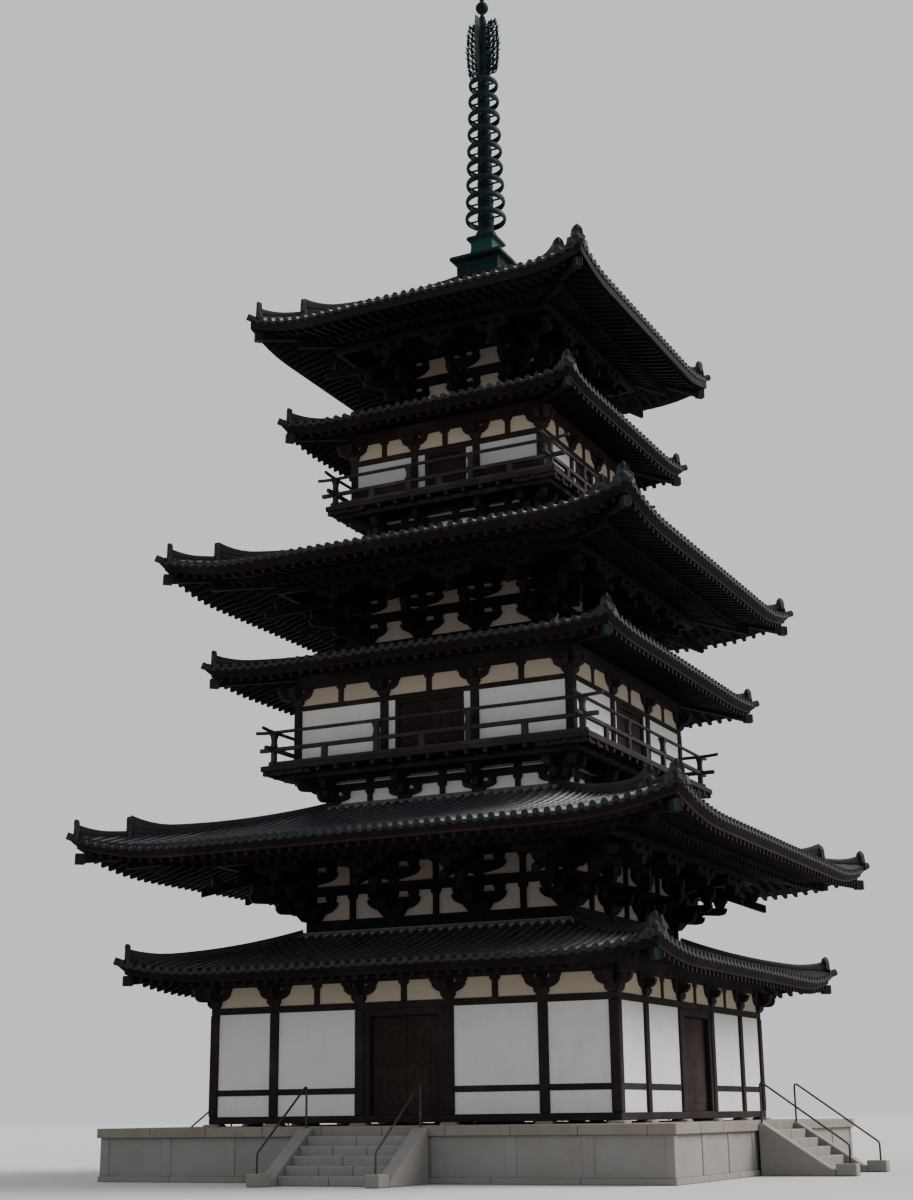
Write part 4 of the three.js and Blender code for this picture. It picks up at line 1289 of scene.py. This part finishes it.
# %% Wall frames
def wall_frame(wall):
    half, size, parts = wall.half, wall.post / 2, []
    for low, high in ((wall.foot, wall.sill_top), wall.head, (wall.band_top, wall.top)):
        parts.append(ring(half - WALL_OUT, half + WALL_OUT, low, high))

    def rail(low, high, foot, top, along="X"):
        parts.append(beam((low, -half - RAIL_OUT, foot), (high, -half + RAIL_OUT, top), along))

    for x in mirrored(wall.posts):
        if x > -half:
            parts.append(eased(box(x, half, wall.sill_top, wall.head[0], wall.post, wall.post), "Z", 0.02))
        if abs(x) < half:
            parts += wall_bracket(wall, x)
    for x in mirrored(wall.struts):
        parts.append(strut(x, half, wall.head[1], wall.band_top, 0.155, 0.17))
    if wall.waist:
        for start, end in zip(wall.posts, wall.posts[1:]):
            rail(start + size, end - size, *wall.waist)
            rail(size - end, -start - size, *wall.waist)
    rail(-wall.jamb, -wall.door, wall.sill_top, wall.head[0], "Z")
    rail(wall.door, wall.jamb, wall.sill_top, wall.head[0], "Z")
    rail(-wall.door, wall.door, wall.lintel, wall.head[0])
    return parts


FRAMES = [[f"ground_frame_{side}" for side in SIDES], ["storey_frame_2"], ["storey_frame_3"]]
for wall, plain in zip(WALLS, FRAMES):
    tone = "door" if wall.level == 3 else "dark"
    parts = around(wall_frame(wall) + corner_bracket(wall))
    done(f"wall_{wall.level}_timber", parts, wood[tone], plain)

# %% [markdown]
# ## Doors
# Each leaf is made of upright planks held by cross rails, with pins at its hinge side. The eight leaves of
# the ground storey swing inwards, so each rides on its own body. The planks of the upper doors are one
# piece with four sides. Planks are separate boards with eased edges, a hair's breadth apart.

# %% Doors
LEAF_PIVOT, LEAF_FREE, PIN = 0.875, 0.0035, 0.03


def planks(low_x, high_x, out, foot, top, count, thick):
    """Upright boards side by side."""
    wide = (high_x - low_x) / count
    low, high = (low_x + 0.002, -out - thick / 2, foot), (low_x + wide - 0.002, -out + thick / 2, top)
    board = beam(low, high, "Z", 0.006)
    return copies(board, [shift(x=wide * number) for number in range(count)])


def leaf(wall, hand):
    out, foot, top = wall.half - 0.07, wall.sill_top + 0.005, wall.lintel - 0.005
    low, high = sorted((hand * LEAF_PIVOT, hand * LEAF_FREE))
    parts = planks(low, high, out, foot, top, 4, 0.04)
    for level in (0.12, 0.5, 0.88):
        z = foot + (top - foot) * level
        start, end = (low + 0.02, -out - 0.03, z - 0.055), (high - 0.02, -out - 0.012, z + 0.055)
        parts.append(beam(start, end, ease=0.005))
    cylinder(16, PIN, top - foot, (hand * LEAF_PIVOT, -out, (top + foot) / 2))
    edit_mode()
    pick("FACE", lambda middle, face: abs(face.normal.z) > 0.9)
    recessed(0.01, 0.03)
    return joined(parts + [lay_grain(object_mode(), "Z")])


for hand, word in ((-1, "left"), (1, "right")):
    for side, panel in zip(SIDES, around([leaf(WALLS[0], hand)])):
        node = f"door_{side}_{word}"
        done(node + "_planks", [panel], wood["door"], [node], body=node + "_leaf")

for wall in WALLS[1:]:
    shut = planks(-wall.door, wall.door, wall.half, wall.sill_top, wall.lintel, 6, 0.05)
    for level in (0.15, 0.85):
        z = wall.sill_top + (wall.lintel - wall.sill_top) * level
        shut.append(beam((-wall.door, -wall.half - 0.045, z - 0.05), (wall.door, -wall.half - 0.02, z + 0.05)))
    done(f"wall_{wall.level}_doors", around(shut), wood["door"])

# %% [markdown]
# ## The core under each main roof
# The round posts of the core carry three-step brackets, which hold the great eaves. Each step is an arm
# with a bearing block on its tip; a tail rafter slants down over the second step, and its end carries the
# third arm and the eave purlin. The wall itself has two rows of plaster panels, cut into bell shapes by
# the arms and their blocks. One set of parts is built for a post in the wall and one for a corner.

# %% Core measures
class Core(namedtuple("Core", "level half posts post foot head beam band_top shelf_top reach arm struts")):
    roof = property(lambda core: MAIN_ROOFS[core.level - 1])
    purlin = property(lambda core: float(base_foot(core.roof, core.half + core.reach + 0.09)) - 0.16)
    up = property(lambda core: (core.purlin - core.head[1]) / 1.33)
    far = property(lambda core: core.reach / 1.795)


CORES = [
    Core(1, 3.555, (1.185, 3.555), 0.2, 1.21, (5.85, 6.20), (6.82, 7.06), 7.57, 7.80, 1.795, 0.73, (0, 2.37)),
    Core(2, 2.56, (0.853, 2.56), 0.18, 10.17, (13.35, 13.65), (14.19, 14.446), 14.86, 15.06, 1.74, 0.63, ()),
    Core(3, 1.60, (0, 1.60), 0.15, 17.60, (20.42, 20.72), (21.27, 21.54), 22.08, 22.28, 1.60, 0.52, ()),
]
TAIL_PITCH, TAIL_DEEP = 0.40, 0.20
SLANT = math.sqrt(2)


def inner_posts(wall):
    """The posts of the front without those on its corners."""
    return [x for x in mirrored(wall.posts) if abs(x) < wall.half]


# %% Bracket sets
def step_parts(core, stretch=1.0):
    """The parts that reach straight out from a post at x = 0, y = 0: three arms, blocks, a tail rafter.
    `stretch` is 1 for a wall and the square root of 2 on a corner's diagonal."""
    head, up, far, size = core.head[1], core.up, core.far * stretch, core.post
    parts = [
        arm_out(0.71 * far, head + 0.18 * up, 0.20 * up, size * 0.95),
        block(0, 0.58 * far, head + 0.37 * up, size * 1.3, 0.10 * up),
        arm_out(1.20 * far, head + 0.44 * up, 0.20 * up, size * 0.95),
        block(0, 1.08 * far, head + 0.63 * up, size * 1.3, 0.29 * up),
    ]
    tip, half = core.reach + 0.27 * core.far, size * 0.425
    tail = beam((-half, -tip * stretch, 0), (half, 0, TAIL_DEEP), "Y")
    reshape(tail, lambda x, y, z: (x, y, z + head + 0.55 * up + (tip + y / stretch) * TAIL_PITCH))
    return parts + [tail, block(0, core.reach * stretch, head + 0.85 * up, size * 1.4, 0.24 * up)]


def cross_arms(core):
    """The arm along the wall on the third step, with three blocks under the eave purlin."""
    head, up, half = core.head[1], core.up, core.arm * 0.95
    low = head + 1.20 * up
    along = arm(0, core.reach, head + 1.05 * up, half, 0.17 * up, core.post * 0.9)
    return [along] + seats(0, core.reach, low, half * 0.78, core.post * 1.2, head + 1.33 * up - low)


def wall_set(core):
    """The arms along the wall on one post, with the post at x = 0, y = 0."""
    parts = []
    tiers = ((core.head[1], core.beam[0], 0.21, 0.53), (core.beam[1], core.band_top, 0.14, 0.55))
    for low, top, first, tall in tiers:
        rise, seat = top - low, first + tall - 0.02
        parts.append(arm(0, 0.07, low + first * rise, core.arm, tall * rise, 0.18))
        parts += seats(0, 0.07, low + seat * rise, core.arm * 0.78, core.post * 1.25, (1.02 - seat) * rise)
    rise = core.beam[0] - core.head[1]
    parts.append(block(0, 0.0, core.head[1], core.post * 3.8, 0.6 * rise, core.post * 3))
    return parts + [block(0, 0.07, core.beam[1] - 0.01, core.post * 1.3, rise * 0.25)]


def whole_set(core):
    return joined(wall_set(core) + step_parts(core) + cross_arms(core))


# %% Cores
def round_post(core, x):
    foot, top = core.foot, core.head[1]
    cylinder(20, core.post, top - foot, (x, -core.half, (top + foot) / 2))
    edit_mode()
    pick_facing("+z")
    sunk(core.post * 0.15, 0, 0, 0.004)
    return lay_grain(object_mode(), "Z")


def core_timber(core):
    half, out, purlin = core.half, core.half + 0.14, core.half + core.reach
    rings = (
        (half - 0.12, half + 0.12, *core.head), (half + 0.042, out, *core.beam),
        (half - 0.12, out, core.band_top, core.shelf_top),
        (out - 0.18, out, core.shelf_top - 0.01, float(base_foot(core.roof, out)) - 0.003),
        (purlin - 0.09, purlin + 0.09, core.purlin, core.purlin + 0.18),
    )
    parts = [ring(*measures) for measures in rings]
    inner = inner_posts(core)
    parts += copies(whole_set(core), [shift(x, -half) for x in inner])
    corner = copies(whole_set(core), [shift(), spin(90)])
    corner += copies(joined(step_parts(core, SLANT)), [spin(45)])
    parts += copies(joined(corner), [shift(half, -half)])
    for x in mirrored(core.struts):
        for foot, top in ((core.head[1], core.beam[0]), (core.beam[1], core.band_top)):
            parts.append(strut(x, half + 0.06, foot, top, 0.14, 0.14))
    return parts + [round_post(core, x) for x in inner + [half]]


# The cores take the darker eave timber, which is painted shade.
for core in CORES:
    node = f"core_frame_{core.level}"
    done(f"core_{core.level}_timber", around(core_timber(core)), wood["eave"], [node], smooth=30)

# %% [markdown]
# ## Balconies
# Two storeys have a balcony all round, on a low wall with brackets: three arms over each post, each longer
# than the one below, and a long block over each strut. The deck is planked, with joist ends under its edge.

# %% Balcony measures
Balcony = namedtuple("Balcony", "level half posts foot beam slit_top deck_top edge rail rail_post rails struts")
BALCONIES = [
    Balcony(2, 3.16, (1.055, 3.16), 7.80, (9.57, 9.76), 9.865, 10.17, 4.60, 4.35,
            1.30, (0.405, 0.92), (0, 2.108)),
    Balcony(3, 2.20, (0.93, 2.20), 15.06, (16.93, 17.10), 17.20, 17.49, 3.42, 3.22,
            0.93, (0.33, 0.84), (0, 1.565)),
]
DECK_THICK, DECK_HOLE = 0.14, 0.45


# %% Bracket walls
def balcony_steps(base, stretch=1.0):
    """Three arms one over the other, each longer than the one below, at x = 0, y = 0."""
    arms = ((-0.26, 0.21, 0.36), (0.0, 0.19, 0.74), (0.25, 0.18, 0.95))
    parts = [arm_out(far * stretch, base + foot, tall, 0.17) for foot, tall, far in arms]
    blocks = ((0.29, -0.06, 0.08), (0.64, 0.17, 0.1))
    return parts + [block(0, far * stretch, base + foot, 0.24, tall) for far, foot, tall in blocks]


def balcony_set(base):
    parts = balcony_steps(base)
    parts += [block(0, 0.04, base - 0.46, 0.34, 0.2), arm(0, 0.08, base - 0.27, 0.46, 0.16, 0.14)]
    parts += seats(0, 0.08, base - 0.12, 0.36, 0.2, 0.13)
    return joined(parts + [arm(0, 0.64, base + 0.25, 0.4, 0.16, 0.14)])


def balcony_wall(balcony):
    half, out, foot = balcony.half, balcony.half + 0.11, balcony.foot
    (base, beam_top), under_deck = balcony.beam, balcony.deck_top - DECK_THICK
    rings = (
        (half - 0.1, out, foot, foot + 0.2), (half + 0.037, out, base, beam_top),
        (half - 0.1, out, balcony.slit_top, under_deck),
        (half + 0.56, half + 0.72, base + 0.38, under_deck - 0.06),
        (half + 0.86, half + 1.02, under_deck - 0.2, under_deck - 0.06),
    )
    parts = [ring(*measures) for measures in rings]
    inner = inner_posts(balcony)
    parts += copies(balcony_set(base), [shift(x, -half) for x in inner])
    parts += copies(balcony_set(base), [shift(half, -half), shift(half, -half) @ spin(90)])
    parts += copies(joined(balcony_steps(base, SLANT)), [on_corner(half)])
    parts += [eased(box(x, half, foot + 0.15, base - 0.44, 0.2, 0.2), "Z") for x in inner + [half]]
    for x in mirrored(balcony.struts):
        parts.append(strut(x, half + 0.05, base - 0.6, base, 0.13, 0.12))
        parts.append(beam((x - 0.1, -out, beam_top - 0.01), (x + 0.1, -half, balcony.slit_top + 0.01)))
    count = 2 * round(balcony.edge / 0.5)
    pitch = 2 * (balcony.edge - 0.12) / (count - 1)
    joist = beam((-0.05, -balcony.edge + 0.02, under_deck - 0.11), (0.05, -half, under_deck), "Y", 0.008)
    return parts + copies(joist, [shift(x=(n - (count - 1) / 2) * pitch) for n in range(count)])


# %% Decks
def deck(balcony):
    """Boards across the walk, cut at the corners, and an edge board."""
    edge, top = balcony.edge, balcony.deck_top
    count = 2 * round(edge / 0.24)
    pitch = 2 * edge / count
    board = cube((-edge + 0.004, 0.03, top - 0.05), (-edge + pitch - 0.004, edge - DECK_HOLE, top))
    repeated(board, count, (pitch, 0, 0))
    lay_grain(cut_at_hips(board, edge, fill=True), "Y")
    reshape(board, lambda x, y, z: (x, y - edge, z))
    under = ring(balcony.half - 0.2, edge - 0.1, top - DECK_THICK, top - 0.05)
    return [board, under, ring(edge - 0.1, edge, top - DECK_THICK, top)]


for balcony in BALCONIES:
    number = balcony.level
    brackets = around(balcony_wall(balcony))
    done(f"balcony_{number}_brackets", brackets, wood["dark"], [f"balcony_frame_{number}"])
    boards = around(deck(balcony))
    done(f"balcony_{number}_deck", boards, wood["dark"], [f"balcony_deck_{number}"])

# %% [markdown]
# ## Railings
# A railing has three rails that run past each other at the corners. The sole lies on the deck, a flat rail
# is carried over it by square blocks, and a round rail tops it, resting on supports with a narrow waist.
# A support is a bar cut into slices, whose slices are then widened towards both ends.

# %% Railings
def waisted(x, out, foot, top, wide):
    """A support with a narrow waist that spreads to the rail it carries."""
    piece = lay_grain(cut_rows(box(0, 0, 0, 1, wide, wide), "z", 6), "Z")

    def spread(px, py, pz):
        flare = 1 + 1.5 * pz ** 4 + 0.8 * (1 - pz) ** 5
        return x + px * flare, -out + py * (flare + 1) / 2, foot + pz * (top - foot)

    return reshape(piece, spread)


def railing(balcony):
    rail, deck_top = balcony.rail, balcony.deck_top
    flat, round_rail = (deck_top + height for height in balcony.rails)
    pole = cylinder(10, 0.045, 2 * rail + 1.1, (0, -rail, round_rail), (0, QUARTER, 0))
    lay_grain(cut_rows(pole, "x", 40))
    reshape(pole, lambda x, y, z: (x, y, z + 0.03 * np.clip((np.abs(x) - rail) / 0.55, 0, 1) ** 2))
    parts = [pole, eased(box(0, rail, flat, flat + 0.105, 2 * rail + 0.84, 0.1))]
    for x in (-balcony.rail_post, balcony.rail_post, rail):
        parts.append(eased(box(x, rail, deck_top + 0.10, flat + 0.01, 0.15, 0.12), "Z"))
        parts.append(waisted(x, rail, flat + 0.10, round_rail - 0.03, 0.11))
    for x in mirrored([0, (balcony.rail_post + rail) / 2]):
        parts.append(eased(box(x, rail, deck_top + 0.12, flat + 0.01, 0.17, 0.09), "Z", 0.008))
    sole = box(0, rail, deck_top + 0.001, deck_top + 0.13, 2 * rail + 0.28, 0.13)
    return parts + [eased(sole, ease=0.015)]


for balcony in BALCONIES:
    node = f"balcony_railing_{balcony.level}"
    done(node + "_rails", around(railing(balcony)), wood["rail"], [node], smooth=40)

# %% [markdown]
# ## Where the roofs meet the walls
# Three rows of flat tiles, each a little narrower, close the joint between a slope and the wall above it.

# %% Wall flashings
WALL_FACES = [3.56, 2.56, 1.60, 3.22, 2.26]
FLASHING = [(0.16, -0.09, 0.035), (0.12, 0.036, 0.075), (0.07, 0.076, 0.12)]
for roof, face in zip(ROOFS, WALL_FACES):
    inner, foot = roof.inner, roof.inner_z
    rows = [ring(face, inner + far, foot + low, foot + high) for far, low, high in FLASHING]
    done(roof.name + "_flashing", around(rows), tile)

# %% [markdown]
# ## Finial
# The bronze finial stands on the centre pillar: a square basin with a wide cornice, a curved neck with a
# small cornice, a tall shaft with nine spoked rings, an openwork flame, and a ball and jewel on top.
# Square and round parts are both made by one helper: a primitive whose top face is extruded and resized
# again and again, as one would do by hand. Each ring is a short open tube, bulged, then given thickness
# by a Solidify modifier.

# %% Basin, neck and bowl
def tower(rows, sides):
    """A closed tower from rows of (half width or radius, height); four sides give a square one."""
    (now, low), (_, second) = rows[0], rows[1]
    radius = now * SLANT if sides == 4 else now
    cylinder(sides, radius, second - low, (0, 0, (low + second) / 2), (0, 0, math.pi / sides))
    edit_mode()
    pick_facing("+z")
    for number, (wide, height) in enumerate(rows[1:]):
        if number:
            extrude(height - rows[number][1])
        widen(wide / now, wide / now, (0, 0, height))
        now = wide
    return lay_grain(object_mode(), "Z")


BASIN_FOOT = 25.0003
BASIN_ROWS = [
    (0.66, 0), (0.66, 0.36), (0.68, 0.44), (0.76, 0.50), (0.82, 0.53), (0.82, 0.60), (0.80, 0.64),
    (0.54, 0.68), (0.45, 0.74), (0.385, 0.83), (0.35, 0.95), (0.34, 1.10), (0.36, 1.22), (0.44, 1.29),
    (0.44, 1.34), (0.41, 1.40), (0.26, 1.42),
]
basin = tower([(wide, BASIN_FOOT + rise) for wide, rise in BASIN_ROWS], 4)
edit_mode()
pick("FACE", lambda middle, face: abs(face.normal.z) < 0.1 and middle.z < BASIN_FOOT + 0.3)
recessed(0.07, -0.018, each=True)
object_mode()
bowl = tower([(0.33, 26.39), (0.335, 26.47), (0.32, 26.56), (0.28, 26.63), (0.24, 26.68)], 24)
done("finial_basin_cast", [basin, bowl], basin_bronze, ["finial_basin"], smooth=35)

# %% Shaft and rings
RING_COUNT, FIRST_RING, RING_STEP, RING_BAND, RING_WALL = 9, 27.08, 0.569, 0.19, 0.055
WIDEST, NARROWER = 0.62, 0.16
COLLAR = [(0.25, -0.08), (0.26, -0.04), (0.24, 0), (0.26, 0.04), (0.25, 0.08)]


def spoked_ring(radius, z):
    rim = cut_rows(cylinder(28, radius - 0.03, RING_BAND, (0, 0, z), caps="NOTHING"), "z", 3)

    def bulge(x, y, height):
        share = (height - z) / (RING_BAND / 2)
        grow = 1 + 0.03 * (1 - share * share) / radius
        return x * grow, y * grow, height

    reshape(rim, bulge)
    wall = rim.modifiers.new("wall", "SOLIDIFY")
    wall.thickness, wall.offset = RING_WALL, -1
    bpy.ops.object.modifier_apply(modifier="wall")
    lay_grain(rim)
    spoke = beam((0.1, -0.022, z - 0.028), (radius - 0.03, 0.022, z + 0.028), ease=0.01)
    collar = tower([(wide, z + rise) for wide, rise in COLLAR], 20)
    reshape(collar, lambda x, y, z: (x * radius / WIDEST, y * radius / WIDEST, z))
    return [rim, collar] + copies(spoke, QUARTERS)


rings = [tower([(0.24, 26.681), (0.235, 27.4), (0.21, 29.3), (0.18, 31.2), (0.16, 31.9497)], 24)]
for number in range(RING_COUNT):
    rings += spoked_ring(WIDEST - NARROWER * number / (RING_COUNT - 1), FIRST_RING + number * RING_STEP)
done("finial_rings_cast", rings, finial_bronze, ["finial_rings"], smooth=35)

# %% [markdown]
# ## Flame
# The flame has four openwork fins, cast as a thicket of small curling tongues on a frame of stems. A
# tongue is modelled once: a thin bar, cut into rows, bent and drawn to a point. Copies fill the outline of
# a fin in staggered rows that lean outwards, and stems join them to the shaft.

# %% Flame
FLAME_FOOT, FLAME_TOP, FLAME_HALF = 31.95, 33.98, 0.545
FLAME_SHARES, FLAME_WIDTHS = [0, 0.1, 0.3, 0.6, 0.85, 1], [0.84, 0.92, 1.0, 1.0, 0.95, 0.84]
TONGUE_ROWS, TONGUES, STEMS = 19, 6, 9
EDGE_LONG, EDGE_SHARES, EDGE_OUT = 1.75, [0, 0.15, 0.5, 0.8, 1], [0.40, 0.46, 0.48, 0.46, 0.40]


def tongue(length, wide, thick, curl):
    """A thin curling tongue in the plane y = 0, growing up from the origin."""
    piece = cut_rows(box(0, 0, 0, length, wide, thick), "z", 5)

    def bend(x, y, z):
        share = z / length
        narrow = np.where(share < 0.3, 0.75 + share, np.maximum(1.35 * (1 - share), 0.04))
        return x * narrow + curl * np.sin(share * 4.2) * share, y * np.maximum(1 - share * 0.7, 0.2), z

    return lay_grain(reshape(piece, bend), "Z")


def flame_width(share):
    """Half the width of the flame at a share of its height."""
    return FLAME_HALF * float(np.interp(share, FLAME_SHARES, FLAME_WIDTHS))


def lean(degrees):
    return Matrix.Rotation(math.radians(degrees), 4, "Y")


def fin():
    inwards, outwards = [], []
    for row in range(TONGUE_ROWS):
        share = (row + 0.2) / TONGUE_ROWS
        z = FLAME_FOOT + share * (FLAME_TOP - FLAME_FOOT) * 0.92
        reach = flame_width(share) - 0.02
        for number in range(TONGUES):
            x = 0.10 + (reach - 0.10) * (number + 0.2 + 0.5 * (row % 2)) / TONGUES
            angle = 6 + 24 * x / FLAME_HALF + random.uniform(-15, 15)
            place = shift(x, 0, z) @ lean(angle) @ Matrix.Scale(random.uniform(0.8, 1.15), 4)
            (inwards if (row + number) % 2 else outwards).append(place)
    parts = copies(tongue(0.19, 0.058, 0.032, 0.035), inwards)
    parts += copies(tongue(0.19, 0.058, 0.032, -0.035), outwards)
    for row in range(STEMS):
        stem = tongue(flame_width((row + 0.5) / (STEMS + 0.5)) - 0.06, 0.045, 0.03, 0.03)
        parts += copies(stem, [shift(0.06, 0, FLAME_FOOT + 0.04 + row * 0.2) @ lean(58)])

    def follow(x, y, z):
        return x + np.interp(z / EDGE_LONG, EDGE_SHARES, EDGE_OUT), y, z + FLAME_FOOT + 0.12

    return parts + [reshape(tongue(EDGE_LONG, 0.05, 0.03, 0.02), follow)]


flame_shaft = tower([(0.155, 31.9505), (0.15, 32.6), (0.13, 33.6), (0.10, 34.04)], 20)
done("finial_flame_cast", around(fin()) + [flame_shaft], finial_bronze, ["finial_flame"], smooth=40)

# %% Ball and jewel
BALL_Z, BALL_RADIUS, TIP = 34.38, 0.20, 35.30
ball_angles = [math.radians(angle) for angle in range(-70, 71, 14)]
ball = [(BALL_RADIUS * math.cos(angle), BALL_Z + BALL_RADIUS * math.sin(angle)) for angle in ball_angles]
jewel_rows = [
    (0.09, 34.0405), (0.062, 34.10), (0.058, 34.19), *ball, (0.058, 34.575), (0.06, 34.66), (0.11, 34.72),
    (0.15, 34.80), (0.168, 34.90), (0.16, 35.0), (0.125, 35.1), (0.075, 35.19), (0.03, 35.26), (0.006, TIP),
]
done("finial_jewel_cast", [tower(jewel_rows, 24)], finial_bronze, ["finial_jewel"], smooth=50)

# %% [markdown]
# ## Centre pillar
# The pillar is seen only through an open door. It keeps its plain shape and gets a timber finish that
# follows Object coordinates, because a plain node has no grain map.

# %% Centre pillar
def pillar_timber(wire):
    fibres = wire.noise(wire.scaled(wire.place(), (22, 22, 0.8)), 2.0, 5.0, 0.65)
    colour = wire.mix(fibres.between(0.35, 0.7), (0.03, 0.018, 0.012), (0.09, 0.055, 0.036))
    return colour, 0.6 + fibres * 0.3, fibres


dress("heart_pillar", finish("timber_pillar", pillar_timber))
print("the pillar has its finish")
